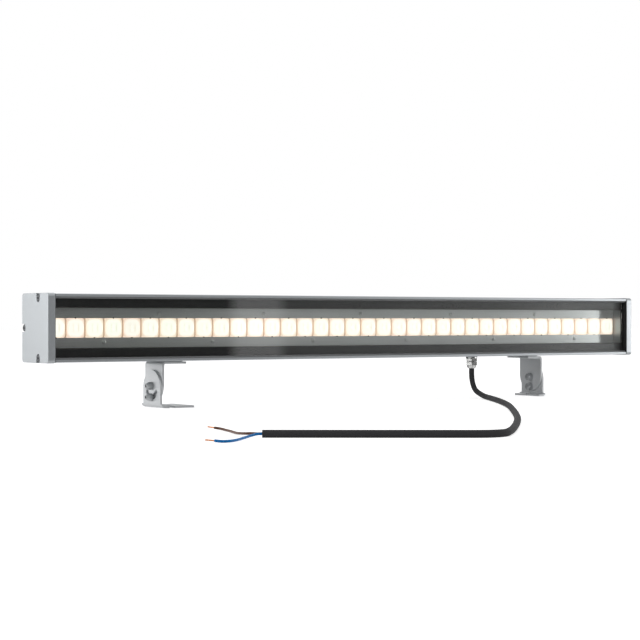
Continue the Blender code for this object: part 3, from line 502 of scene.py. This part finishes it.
def makeStrands(name, start, out, node):
    # seven copper strands, the outer six laid in a long twist round the middle one
    shape = bmesh.new()
    strand, steps = copper["strand"], copper["twistSteps"]
    length = copper["length"] + wires["gap"]
    for i in range(7):
        made = bmesh.ops.create_circle(shape, cap_ends=True, radius=strand, segments=10)
        offset = Matrix.Rotation(math.tau * i / 6, 3, "Z") @ Vector((copper["radius"] - strand, 0, 0))
        bmesh.ops.translate(shape, verts=made["verts"], vec=offset if i < 6 else (0, 0, 0))
        faces = list({f for v in made["verts"] for f in v.link_faces})
        turned = bmesh.ops.spin(shape, geom=faces, cent=(0, 0, 0), axis=(0, 0, 1), steps=steps,
                                dvec=(0, 0, length / steps), angle=copper["halfTurns"] * math.tau / 2)
        ends = [v for v in turned["geom_last"] if isinstance(v, bmesh.types.BMVert)]
        bmesh.ops.translate(shape, verts=ends, vec=(0, 0, -copper["uneven"] * (i % 3)))
    bmesh.ops.recalc_face_normals(shape, faces=shape.faces)
    turn = Vector((0, 0, 1)).rotation_difference(out).to_matrix()
    bmesh.ops.rotate(shape, verts=shape.verts, cent=(0, 0, 0), matrix=turn)
    bmesh.ops.translate(shape, verts=shape.verts, vec=start)
    return addPiece(name, shape, bareCopper, replaced=[node])


def grainOn(parts, cell, tones, rough, relief, detail=3.0):
    # noise of a real cell size in millimetres gives tone, roughness and a little relief
    material, tree, shader, coords = parts
    scaled = addNode(tree, "Mapping", {"Vector": coords, "Scale": [1 / (c * mm) for c in cell]})
    noise = addNode(tree, "TexNoise", {"Vector": scaled.outputs[0], "Scale": 1.0, "Detail": detail})
    tone = addNode(tree, "ValToRGB", {0: noise.outputs[0]}, stops=[(0.3, tones[0]), (0.7, tones[1])])
    polish = addNode(tree, "MapRange", {"Value": noise.outputs[0], "From Min": 0.25, "From Max": 0.75,
                                        "To Min": rough[0], "To Max": rough[1]})
    bump = addNode(tree, "Bump", {"Height": noise.outputs[0], "Strength": relief[0],
                                  "Distance": relief[1] * mm})
    setInputs(tree, shader, {"Base Color": tone.outputs[0], "Roughness": polish.outputs[0],
                             "Normal": bump.outputs[0]})
    return material


# extruded and clear anodised: satin grey metal with fine die lines along its length
anodisedExtrusion = grainOn(newMaterial("anodisedExtrusion", Metallic=0.8), (400, 1.2, 1.2),
                            ("A2A6A9", "B3B7BA"), (0.34, 0.44), (0.12, 0.05))
# die-cast caps with aluminium-grey powder paint: a half metallic sheen with a faint orange peel
paintedCasting = grainOn(newMaterial("paintedCasting", Metallic=0.65), (1.4, 1.4, 1.4),
                         ("ABAFB2", "B1B5B8"), (0.32, 0.42), (0.10, 0.12), 1.5)
# bent aluminium sheet, blasted and anodised: soft satin with a fine grain
blastedSheet = grainOn(newMaterial("blastedSheet", Metallic=0.35), (0.7, 0.7, 0.7),
                       ("D0D3D5", "DADCDE"), (0.36, 0.46), (0.15, 0.05), 2.0)
# stainless steel fasteners: satin grey with fine turning marks
stainlessSteel = grainOn(newMaterial("stainlessSteel", Metallic=0.6), (0.5, 0.5, 0.5),
                         ("A8ABAD", "B8BBBD"), (0.28, 0.42), (0.10, 0.03))
# socket screws of the caps, sitting deep in their notches: dull dark grey steel, the dark grey being painted
# shade of the notches
notchShadeSteel = grainOn(newMaterial("notchShadeSteel", Metallic=0.9), (0.5, 0.5, 0.5),
                    ("46484A", "5C5E60"), (0.36, 0.48), (0.10, 0.03))
# nickel-plated brass: neutral bright plating that mirrors the room
nickelPlate = grainOn(newMaterial("nickelPlate", Metallic=1.0), (3.0, 3.0, 3.0),
                      ("B5B5B4", "C4C4C3"), (0.18, 0.26), (0.04, 0.05), 2.0)
# black silicone rubber: dull with a fine tooth
blackRubber = grainOn(newMaterial("blackRubber"), (0.5, 0.5, 0.5),
                      ("141415", "1E1E1F"), (0.68, 0.82), (0.20, 0.05))
# black lacquered steel strip: even satin black, with a weak reflection
lacqueredSteel = grainOn(newMaterial("lacqueredSteel", Specular_IOR_Level=0.2), (60, 1.5, 1.5),
                         ("131314", "1A1B1C"), (0.34, 0.42), (0.06, 0.04))
# rolled aluminium strip: its colour is raised near white as painted light for the dim space behind the glass;
# a soft mirror along its rolling lines
paintedLightStrip = grainOn(newMaterial("paintedLightStrip", Metallic=0.2), (120, 2.2, 2.2),
                      ("E6E7E8", "EEEFF0"), (0.14, 0.22), (0.03, 0.05))
# mid grey strip on the front rim's step, darker than the rim as painted shade of the rim's shaded inner face:
# smooth and slightly glossy
rimShadeGrey = grainOn(newMaterial("rimShadeGrey"), (3.0, 2.0, 2.0),
                       ("727476", "7C7E80"), (0.34, 0.44), (0.08, 0.08), 2.0)
# glass-fibre board with white solder mask
whiteBoard = grainOn(newMaterial("whiteBoard"), (4, 4, 4), ("D9D8CF", "E6E5DD"), (0.42, 0.52), (0.10, 0.05))
# moulded ABS case of the driver: dark grey with spark texture
mouldedCase = grainOn(newMaterial("mouldedCase"), (0.8, 0.8, 0.8), ("5F6366", "6D7174"), (0.5, 0.62),
                      (0.25, 0.08))
# white polyamide terminal block: slightly waxy
polyamide = grainOn(newMaterial("polyamide"), (2, 2, 2), ("CFCEC6", "DBDAD3"), (0.38, 0.46), (0.08, 0.05))
# soft black PVC jacket: drawn matt, so it stays a dull charcoal with hardly any highlight
pvcJacket = grainOn(newMaterial("pvcJacket", Specular_IOR_Level=0.08), (1.6, 1.6, 1.6),
                    ("464648", "4E4E50"), (0.66, 0.78), (0.10, 0.06))
# moulded dark nylon of the small lens pegs
darkNylon = grainOn(newMaterial("darkNylon"), (0.5, 0.5, 0.5), ("1C1B1A", "262422"), (0.5, 0.6), (0.1, 0.03))


def insulation(name, dark, pale, lean):
    # drawn PVC insulation: satin, and the stranded core shows through as slanting ridges, whose crests are
    # coloured paler as a painted highlight
    material, tree, shader, coords = newMaterial(name, Specular_IOR_Level=0.1)
    ridge = 1.6 * mm               # from one ridge to the next
    leaning = addNode(tree, "Mapping", {"Vector": coords, "Rotation": (0, 0, math.radians(lean))})
    ridges = addNode(tree, "TexWave", {"Vector": leaning.outputs[0], "Scale": 1 / ridge / math.tau * 2,
                                       "Distortion": 1.2, "Detail": 1.0, "Detail Scale": 2.0},
                     bands_direction="X")
    # the paler colour on the ridges' crests is a painted highlight
    tone = addNode(tree, "ValToRGB", {0: ridges.outputs[1]}, stops=[(0.2, dark), (0.9, pale)])
    bump = addNode(tree, "Bump", {"Height": ridges.outputs[1], "Strength": 0.25, "Distance": 0.08 * mm})
    setInputs(tree, shader, {"Base Color": tone.outputs[0], "Roughness": 0.34, "Normal": bump.outputs[0]})
    return material


# the second colour of each wire is the painted highlight on its ridge crests
brownInsulation = insulation("brownInsulation", "4A2A1C", "7E5038", 55)
blueInsulation = insulation("blueInsulation", "1A80D0", "3098E8", -40)
# bare drawn copper: warm metal, a little dulled by air
bareCopper = grainOn(newMaterial("bareCopper", Metallic=0.9), (0.6, 0.6, 0.6), ("C07B50", "E0A37A"),
                     (0.26, 0.36), (0.08, 0.03))

lens = {
    "pitch": 977.6 / 36 * mm, "count": 36, "perStrip": 6, "width": 25.656 * mm, "height": 24.3 * mm,
    "front": -9.5 * mm, "root": -6.0 * mm, "draft": 0.8 * mm, "corner": 2.4 * mm, "rim": 0.5 * mm,
    "domeRadius": 11.7 * mm, "domeHeight": 1.5 * mm, "dishRadius": 4.2 * mm, "dishDepth": 0.7 * mm,
    "domeFoot": 0.06,              # the share of the dome's height that its rim stands up by
    "flangeFront": -7.4 * mm, "flangeThickness": 2.8 * mm, "flangeHeight": 30 * mm, "flangeEdge": 0.2 * mm,
    "rail": 3 * mm, "railBack": -4.1 * mm, "gap": 0.3 * mm, "centreZ": 106.7 * mm,
    "glow": 1.06, "groove": (11.9 * mm, 12.6 * mm), "haze": 3 * mm,
    "barPlace": 3.6 * mm, "barEdge": (0.3 * mm, 1.2 * mm), "barEnd": (4.5 * mm, 7 * mm),
    # colours from the middle of a lens to its corner, by a squarish distance in millimetres
    "tones": [(0.0, "FFFFF9"), (8.5, "FFFFF7"), (10.4, "FFF9EE"), (11.4, "FFF0E2"), (12.1, "F4E1D2"),
              (13.2, "F0D9CB"), (16.0, "D9C2B4")],
}


def lensAcrylic():
    # clear acrylic over a warm-white LED: the whole lens glows, its rim is warmer and its corners dim
    material, tree, shader, coords = newMaterial("lensAcrylic", Roughness=0.12, Coat_Weight=0.4,
                                                 Coat_Roughness=0.05)
    place = addNode(tree, "SeparateXYZ", {0: coords})
    count = addNode(tree, "Math", {0: place.outputs["X"], 1: 1 / lens["pitch"], 2: lens["count"] / 2},
                    operation="MULTIPLY_ADD").outputs[0]      # lens number, from the left end
    share = addNode(tree, "Math", {0: count}, operation="FRACT").outputs[0]
    across = addNode(tree, "Math", {0: share, 1: lens["pitch"], 2: -lens["pitch"] / 2},
                     operation="MULTIPLY_ADD").outputs[0]     # metres from the middle of this lens
    up = addNode(tree, "Math", {0: place.outputs["Z"], 1: -lens["centreZ"]}, operation="ADD").outputs[0]
    side = addNode(tree, "Math", {0: across}, operation="ABSOLUTE").outputs[0]
    height = addNode(tree, "Math", {0: up}, operation="ABSOLUTE").outputs[0]
    farthest = lens["tones"][-1][0] * mm
    cubes = []
    for span in (side, height):    # the third root of two cubes gives the squarish distance
        part = addNode(tree, "Math", {0: span, 1: 1 / farthest}, operation="MULTIPLY")
        cubes.append(addNode(tree, "Math", {0: part.outputs[0], 1: 3.0}, operation="POWER").outputs[0])
    reach = addNode(tree, "Math", {0: cubes[0], 1: cubes[1]}, operation="ADD")
    reach = addNode(tree, "Math", {0: reach.outputs[0], 1: 1 / 3}, operation="POWER").outputs[0]
    tone = addNode(tree, "ValToRGB", {0: reach},
                   stops=[(r * mm / farthest, code) for r, code in lens["tones"]]).outputs[0]
    # the groove between two lenses is dim and brownish
    near, far = lens["groove"]
    groove = addNode(tree, "MapRange", {"Value": side, "From Min": near, "From Max": far})
    groove = addNode(tree, "ValToRGB", {0: groove.outputs[0]}, stops=[(0.0, "FFFFFF"), (1.0, "A99A8D")])
    # the chip's outline shows as two faint upright bars beside the middle
    offBar = addNode(tree, "Math", {0: side, 1: -lens["barPlace"]}, operation="ADD").outputs[0]
    offBar = addNode(tree, "Math", {0: offBar}, operation="ABSOLUTE").outputs[0]
    fades = []
    for span, (near, far) in ((offBar, lens["barEdge"]), (height, lens["barEnd"])):
        fades.append(addNode(tree, "MapRange", {"Value": span, "From Min": near, "From Max": far,
                                                "To Min": 1.0, "To Max": 0.0}).outputs[0])
    bar = addNode(tree, "Math", {0: fades[0], 1: fades[1]}, operation="MULTIPLY").outputs[0]
    bar = addNode(tree, "ValToRGB", {0: bar}, stops=[(0.0, "FFFFFF"), (1.0, "F0EBDF")])
    # each LED has its own slight tint, from rosy to greenish white
    number = addNode(tree, "Math", {0: count}, operation="FLOOR").outputs[0]
    chance = addNode(tree, "TexWhiteNoise", {"W": number}, noise_dimensions="1D").outputs[0]
    tint = addNode(tree, "ValToRGB", {0: chance}, stops=[(0.0, "FFF9F6"), (0.5, "FFFEFB"), (1.0, "FDFFF8")])
    for shade in (groove, bar, tint):
        tone = addNode(tree, "Mix", {6: tone, 7: shade.outputs[0], 0: 1.0}, data_type="RGBA",
                       blend_type="MULTIPLY").outputs[2]
    haze = addNode(tree, "Mapping", {"Vector": coords, "Scale": (1 / lens["haze"],) * 3})
    haze = addNode(tree, "TexNoise", {"Vector": haze.outputs[0], "Scale": 1.0})
    bump = addNode(tree, "Bump", {"Height": haze.outputs[0], "Strength": 0.05, "Distance": 0.1 * mm})
    setInputs(tree, shader, {"Base Color": hexToLinear("C9C3B4"), "Emission Color": tone,
                             "Emission Strength": lens["glow"], "Normal": bump.outputs[0]})
    return material


def clearGlass():
    # toughened float glass, polished: nearly colourless, with the faintest green cast
    material, tree, shader, coords = newMaterial("clearGlass", Roughness=0.0, IOR=1.5,
                                                 Transmission_Weight=1.0)
    patch = 90 * mm                # how wide a patch of one tint is
    soft = addNode(tree, "Mapping", {"Vector": coords, "Scale": (1 / patch,) * 3})
    soft = addNode(tree, "TexNoise", {"Vector": soft.outputs[0], "Scale": 1.0})
    tone = addNode(tree, "ValToRGB", {0: soft.outputs[0]}, stops=[(0.3, "F7FBF9"), (0.7, "FCFEFD")])
    setInputs(tree, shader, {"Base Color": tone.outputs[0]})
    return material


glowingAcrylic = lensAcrylic()
floatGlass = clearGlass()
print("materials ready")

makeCords()
print("cord and wires laid")


body = {"end": 500.0 * mm, "centreZ": 106.7 * mm, "housingEnd": 488.8 * mm}
bead = {                           # a grey strip on the step of the front rim, painted shade of the rim's shaded inner face, and a thin black strip at each end
    # (y, height from the middle) in millimetres
    "section": [(-37.12, 38.05), (-37.7, 38.2), (-38.3, 38.8), (-38.6, 39.6), (-38.7, 40.38),
                (-37.12, 40.38)],
    "endFront": -40.4 * mm, "endBack": -35.4 * mm, "endHalf": 40.3 * mm,
    "endNear": 0.5 * mm, "endFar": 1.19 * mm,
}
capEdge = {"outer": 0.5 * mm, "other": 0.25 * mm, "reach": 0.01 * mm}


def makeBody():
    softened("housingProfile", "housing_profile", anodisedExtrusion, 0.25 * mm)
    for side in ("left", "right"):
        shape = cadShape(f"end_cap_{side}")
        outer = body["end"] - capEdge["reach"]
        roundEdges(shape, capEdge["outer"], 3, pick=lambda e: all(abs(v.co.x) > outer for v in e.verts))
        roundEdges(shape, capEdge["other"], 2, angle=60)
        addPiece(f"endCap{side.title()}", shape, paintedCasting, replaced=[f"end_cap_{side}"])
        softened(f"endGasket{side.title()}", f"end_gasket_{side}", blackRubber, 0.2 * mm)
    glass = softened("frontGlass", "front_glass", floatGlass, 0.5 * mm, 3, smooth=5)
    glass.visible_shadow = False            # lamps shine through it
    softened("glassSeal", "glass_seal", blackRubber, 0.4 * mm)
    for side in ("top", "bottom"):
        softened(f"{side}Trim", f"black_trim_{side}", lacqueredSteel, 0.15 * mm)
    # the grey strips along the rim are painted shade of the rim's inner face
    for sign, side in ((1, "top"), (-1, "bottom")):
        outline = [(y * mm, body["centreZ"] + sign * z * mm) for y, z in bead["section"]]
        strip = sectionBar(outline, -body["housingEnd"], body["housingEnd"])
        addPiece(f"{side}Bead", strip, rimShadeGrey, smooth=50)
    near, far = body["housingEnd"] + bead["endNear"], body["housingEnd"] + bead["endFar"]
    low, high = body["centreZ"] - bead["endHalf"], body["centreZ"] + bead["endHalf"]
    outline = [(bead["endFront"], low), (bead["endBack"], low), (bead["endBack"], high),
               (bead["endFront"], high)]
    for sign, side in ((-1, "left"), (1, "right")):
        addPiece(f"{side}EndBead", sectionBar(outline, sign * near, sign * far), blackRubber)


clamp = {
    "front": -8.9 * mm, "thickness": 1.2 * mm, "near": 12.45 * mm, "far": 30.85 * mm, "back": -2.2 * mm,
    "screwRise": 18.6 * mm, "head": 2.9 * mm, "headHeight": 1.6 * mm, "recess": 1.9 * mm, "slot": 0.75 * mm,
    "peg": 0.95 * mm, "pegHeight": 0.9 * mm, "pegRise": 12.9 * mm,
}


def quarterTurn(steps):
    # angles from 0 to a right angle, for a rounded profile
    return [math.pi / 2 * i / steps for i in range(steps + 1)]


def oneLens():
    # a square lens with rounded corners and a round dome with a dish in its middle, front towards +Z
    depth = lens["root"] - lens["front"]
    shape = bmesh.new()
    bmesh.ops.create_cube(shape, size=1)
    bmesh.ops.scale(shape, verts=shape.verts, vec=(lens["width"], lens["height"], depth))
    bmesh.ops.translate(shape, verts=shape.verts, vec=(0, 0, -depth / 2))
    front = [v for v in shape.verts if v.co.z > -depth / 2]
    bmesh.ops.scale(shape, verts=front, vec=(1 - 2 * lens["draft"] / lens["width"], 1, 1))
    upright = [e for e in shape.edges if abs(e.verts[0].co.z - e.verts[1].co.z) > depth / 2]
    bmesh.ops.bevel(shape, geom=upright, offset=lens["corner"], offset_type="OFFSET", segments=5,
                    profile=0.5, affect="EDGES", material=-1)
    rim = [e for e in shape.edges if all(abs(v.co.z) < sameSpot for v in e.verts)]
    bmesh.ops.bevel(shape, geom=rim, offset=lens["rim"], offset_type="OFFSET", segments=3,
                    profile=0.5, affect="EDGES", material=-1)
    radius, high, dish, deep = (lens[k] for k in ("domeRadius", "domeHeight", "dishRadius", "dishDepth"))
    foot = lens["domeFoot"]
    profile = [(0, high - deep)]
    profile += [(dish * t, high - deep * (1 - t * t)) for t in (0.4, 0.7, 1.0)]
    profile += [(dish + (radius - dish) * math.sin(a), high * math.cos(a) * (1 - foot) + foot * high)
                for a in quarterTurn(8)[1:]]
    profile += [(radius, -depth / 2), (0, -depth / 2)]
    return joined(shape, turnedShape(profile, 48))


def makeLensRow():
    centres = [(i - (lens["count"] - 1) / 2) * lens["pitch"] for i in range(lens["count"])]
    half = lens["flangeHeight"] / 2
    inner = half - lens["rail"]
    front, railBack = lens["flangeFront"], lens["railBack"]
    back = front + lens["flangeThickness"]
    outline = [(front, -half), (railBack, -half), (railBack, -inner), (back, -inner),
               (back, inner), (railBack, inner), (railBack, half), (front, half)]
    outline = [(y, lens["centreZ"] + z) for y, z in outline]
    for i in range(lens["count"] // lens["perStrip"]):
        mine = centres[i * lens["perStrip"]:(i + 1) * lens["perStrip"]]
        heads = copiesAt(oneLens(), [((x, lens["front"], lens["centreZ"]), (0, -1, 0)) for x in mine])
        start = mine[0] - lens["pitch"] / 2 + lens["gap"] / 2
        end = mine[-1] + lens["pitch"] / 2 - lens["gap"] / 2
        flange = sectionBar(outline, start, end)
        roundEdges(flange, lens["flangeEdge"])
        addPiece(f"lensStrip{i + 1}", joined(heads, flange), glowingAcrylic,
                 replaced=[f"lens_strip_{i + 1}"])
    pegs = []
    for i, x in enumerate(centres):          # one small peg a lens, by turns above and below it
        rise = clamp["pegRise"] * (1 if i % 2 else -1)
        pegs.append(((x, clamp["front"] - clamp["pegHeight"] / 3, lens["centreZ"] + rise), (0, -1, 0)))
    peg = turnedShape([(0, 0.3 * mm), (clamp["peg"] * 0.7, 0.28 * mm), (clamp["peg"], 0),
                       (clamp["peg"], -clamp["pegHeight"]), (0, -clamp["pegHeight"])], 16)
    addPiece("lensPegs", copiesAt(peg, pegs), darkNylon)


def crossHead():
    # a pan-head screw with a cross recess, its top at the origin
    head, height, arm, slot = (clamp[k] for k in ("head", "headHeight", "recess", "slot"))
    profile = [(0, 0)] + [(head * math.sin(a) ** 0.8, -height * 0.7 * (1 - math.cos(a)))
                          for a in quarterTurn(6)[1:]]
    profile += [(head, -height), (0, -height)]
    floor = -height * 0.6          # how deep the recess is cut
    cross = cutShape(barShape((-arm, -slot / 2, floor), (arm, slot / 2, height)),
                     barShape((-slot / 2, -arm, floor), (slot / 2, arm, height)), "UNION")
    return cutShape(turnedShape(profile, 32), cross)


def clampScrewPlaces(sign):
    # above, between two strips; below, in the middle of each strip
    step = lens["perStrip"] * lens["pitch"]
    first = -lens["count"] / 2 * lens["pitch"]
    count = lens["count"] // lens["perStrip"]
    return ([first + step * i for i in range(1, count)] if sign > 0
            else [first + step * (i + 0.5) for i in range(count)])


def makeClamps():
    for sign, name in ((1, "top"), (-1, "bottom")):
        front, thin, near, far, back = (clamp[k] for k in ("front", "thickness", "near", "far", "back"))
        outline = [(front, near), (front + thin, near), (front + thin, far - thin), (back, far - thin),
                   (back, far), (front, far)]
        outline = [(y, body["centreZ"] + sign * z) for y, z in outline]
        shape = sectionBar(outline, -body["housingEnd"], body["housingEnd"])
        roundEdges(shape, 0.25 * mm)
        # the clamps and their screws are coloured near white as painted light for the dim space behind the
        # glass
        addPiece(f"{name}Clamp", shape, paintedLightStrip, replaced=[f"lens_clamp_{name}"])
        places = [((x, front - clamp["headHeight"], body["centreZ"] + sign * clamp["screwRise"]), (0, -1, 0))
                  for x in clampScrewPlaces(sign)]
        addPiece(f"{name}ClampScrews", copiesAt(crossHead(), places), paintedLightStrip)


fixings = {                        # "dome" and "depth" are shares of the head's height
    "tilt": {"head": 5.2 * mm, "height": 8.5 * mm, "shank": 3 * mm, "socket": 4 * mm, "depth": 0.6,
             "dome": 0.75},
    "cap": {"head": 4.5 * mm, "height": 2.6 * mm, "shank": 1.8 * mm, "socket": 3 * mm, "depth": 0.6,
            "dome": 0.3},
    "sunk": {"head": 4.8 * mm, "height": 2.3 * mm, "shank": 2.5 * mm, "socket": 3 * mm, "depth": 0.7,
             "spin": 0.3},
    "nut": {"flats": 10 * mm, "flange": 6.4 * mm, "flangeHeight": 1 * mm, "edge": 0.3 * mm},
}


def headSizes(kind):
    return [fixings[kind][k] for k in ("head", "height", "shank", "socket", "depth")]


def socketScrew(kind, length):
    # a partly domed round head with a hexagon socket, its top at the origin
    head, height, shank, socket, depth = headSizes(kind)
    flat, dome = head * (1 - fixings[kind]["dome"]), height * fixings[kind]["dome"]
    profile = [(0, 0)] + [(flat + (head - flat) * math.sin(a), -dome * (1 - math.cos(a)))
                          for a in quarterTurn(8)]
    profile += [(head, -height + 0.2 * mm), (head - 0.2 * mm, -height), (shank, -height),
                (shank, -length + 0.5 * mm), (shank - 0.5 * mm, -length), (0, -length)]
    return cutShape(turnedShape(profile), hexPrism(socket, -height * depth, height))


def sunkScrew(length):
    # a countersunk screw with a hexagon socket, its flat top at the origin
    head, height, shank, socket, depth = headSizes("sunk")
    profile = [(0, 0), (head - 0.15 * mm, 0), (head, -0.1 * mm), (head, -0.2 * mm), (shank, -height),
               (shank, -length + 0.4 * mm), (shank - 0.4 * mm, -length), (0, -length)]
    return cutShape(turnedShape(profile), hexPrism(socket, -height * depth, height))


def chamferedHex(flats, low, high, bothEnds=False):
    # a hexagon whose corners are turned off, at the top or at both ends
    corner = flats / math.sqrt(3) * 1.02      # just past the hexagon's own corners
    face = flats * 0.47                       # just inside its flats
    drop = (corner - face) * 0.5
    profile = [(0, high), (face, high), (corner, high - drop)]
    profile += [(corner, low + drop), (face, low), (0, low)] if bothEnds else [(corner, low), (0, low)]
    return cutShape(hexPrism(flats, low, high), turnedShape(profile, 48), "INTERSECT")


def flangeNut(length):
    # a hexagon nut with a round flange, its top at the origin
    nut = fixings["nut"]
    wide, low = nut["flange"], -length
    high = low + nut["flangeHeight"]
    flange = turnedShape([(0, high), (wide - nut["edge"], high), (wide, high - nut["edge"]), (wide, low),
                          (0, low)])
    return joined(chamferedHex(nut["flats"], low + nut["flangeHeight"] * 0.9, 0), flange)


def placed(shape, point, direction, spin=0.0):
    # spins a shape about its own Z and moves it to its place
    bmesh.ops.rotate(shape, verts=shape.verts, cent=(0, 0, 0), matrix=Matrix.Rotation(spin, 3, "Z"))
    return copiesAt(shape, [(point, direction)])


def makeFixings():
    for side, sign in (("left", -1), ("right", 1)):
        tag = side.title()
        for where in ("top", "bottom", "rear"):
            node = f"end_cap_screw_{side}_{where}"
            point, direction, length = headPlace(node, 0, sign)
            shape = placed(socketScrew("cap", length), point, direction)
            # the cap screws' dark grey is painted shade of the notches they sit in
            addPiece(f"capScrew{tag}{where.title()}", shape, notchShadeSteel, replaced=[node])
        for what in ("pivot", "lock"):
            node = f"{what}_bolt_{side}"
            point, direction, length = headPlace(node, 0, sign)
            shape = placed(socketScrew("tilt", length), point, direction)
            addPiece(f"{what}Bolt{tag}", shape, stainlessSteel, replaced=[node])
            node = f"{what}_nut_{side}"
            point, direction, length = headPlace(node, 0, -sign)
            addPiece(f"{what}Nut{tag}", placed(flangeNut(length), point, direction), stainlessSteel,
                     replaced=[node])
        for where in ("front", "rear"):
            node = f"bracket_bolt_{side}_{where}"
            point, direction, length = headPlace(node, 2, -1)
            shape = placed(sunkScrew(length), point, direction, fixings["sunk"]["spin"])
            addPiece(f"bracketBolt{tag}{where.title()}", shape, stainlessSteel, replaced=[node])
        softened(f"bracketBacking{tag}", f"bracket_backing_{side}", stainlessSteel, 0.3 * mm)


def makeBrackets():
    for side in ("left", "right"):
        tag = side.title()
        softened(f"upperBracket{tag}", f"upper_bracket_{side}", blastedSheet, 0.4 * mm, 3)
        softened(f"footPlate{tag}", f"foot_{side}", blastedSheet, 0.4 * mm, 3, body=f"foot_{side}")


gland = {
    "x": 212.4 * mm, "y": 2 * mm, "flats": 16 * mm, "bore": 4.3 * mm, "flange": 8.8 * mm,
    "flangeHeight": 2.2 * mm, "hexHeight": 4.6 * mm, "thread": 6 * mm, "endRadius": 6 * mm,
    "hexStart": 0.45, "domeEnd": 0.52,       # shares of the nut's height
    "spin": 0.4,
}


def onGland(shape, z, spin=0.0):
    # moves a part of the gland to its height on the cord's axis
    return placed(shape, (gland["x"], gland["y"], z), (0, 0, 1), spin)


def makeGland():
    flats, bore, wide, thread, end = (gland[k] for k in ("flats", "bore", "flange", "thread", "endRadius"))
    low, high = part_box("gland_body")
    hexTop = low.z + gland["hexHeight"]
    deep, tall = gland["flangeHeight"], high.z - hexTop
    hexPart = chamferedHex(flats, 0, gland["hexHeight"] + 0.1 * mm, True)
    collar = turnedShape([(0, 0), (wide - 0.4 * mm, 0), (wide, 0.4 * mm), (wide, deep - 0.3 * mm),
                          (wide - 0.3 * mm, deep), (thread, deep), (thread, tall), (0, tall)], 48)
    shape = joined(onGland(hexPart, low.z, gland["spin"]), onGland(collar, hexTop))
    addPiece("glandBody", shape, nickelPlate, replaced=["gland_body"])
    low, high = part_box("gland_nut")
    tall = high.z - low.z
    domeTop = tall * gland["domeEnd"]
    hexPart = chamferedHex(flats, tall * gland["hexStart"], tall, True)
    dome = turnedShape([(0, 0.3 * mm), (bore + 0.8 * mm, 0.3 * mm), (bore + 1.0 * mm, 0), (end - 0.6 * mm, 0),
                        (end, 0.5 * mm), (end + 0.9 * mm, tall * 0.3), (flats / 2 - 0.35 * mm, domeTop),
                        (0, domeTop)], 48)
    shape = onGland(joined(hexPart, dome), low.z, gland["spin"])
    addPiece("glandNut", shape, nickelPlate, replaced=["gland_nut"])
    insert = turnedShape([(0, 0), (bore - 0.2 * mm, 0), (bore + 0.7 * mm, 0.45 * mm), (0, 0.5 * mm)])
    addPiece("glandInsert", onGland(insert, low.z - 0.2 * mm), blackRubber)
    softened("glandWasher", "gland_washer", blackRubber, 0.25 * mm)
    softened("glandLockNut", "gland_lock_nut", nickelPlate, 0.4 * mm)


def makeInside():
    for i in (1, 2, 3):
        dressNode(f"led_board_{i}", whiteBoard)
    softened("ledDriver", "led_driver", mouldedCase, 1.0 * mm, 3)
    softened("terminalBlock", "terminal_block", polyamide, 0.4 * mm)
    for side in ("left", "right"):
        softened(f"driverScrew{side.title()}", f"driver_screw_{side}", stainlessSteel, 0.2 * mm)
    lead = smoothRoute(innerRoutes["lead"], innerRoutes["leadStep"])
    addTube("innerLead", lead, cord["radius"], pvcJacket, ["inner_lead"])
    for name, finish in (("brown", brownInsulation), ("blue", blueInsulation)):
        core = smoothRoute(innerRoutes[name], innerRoutes["wireStep"])
        addTube(f"innerWire{name.title()}", core, wires["radius"], finish,
                [f"inner_wire_{name}"])


makeBody()
makeLensRow()
makeClamps()
print("body, glass and lens row made")
makeFixings()
makeBrackets()
makeGland()
makeInside()
print("brackets, fixings and gland made")
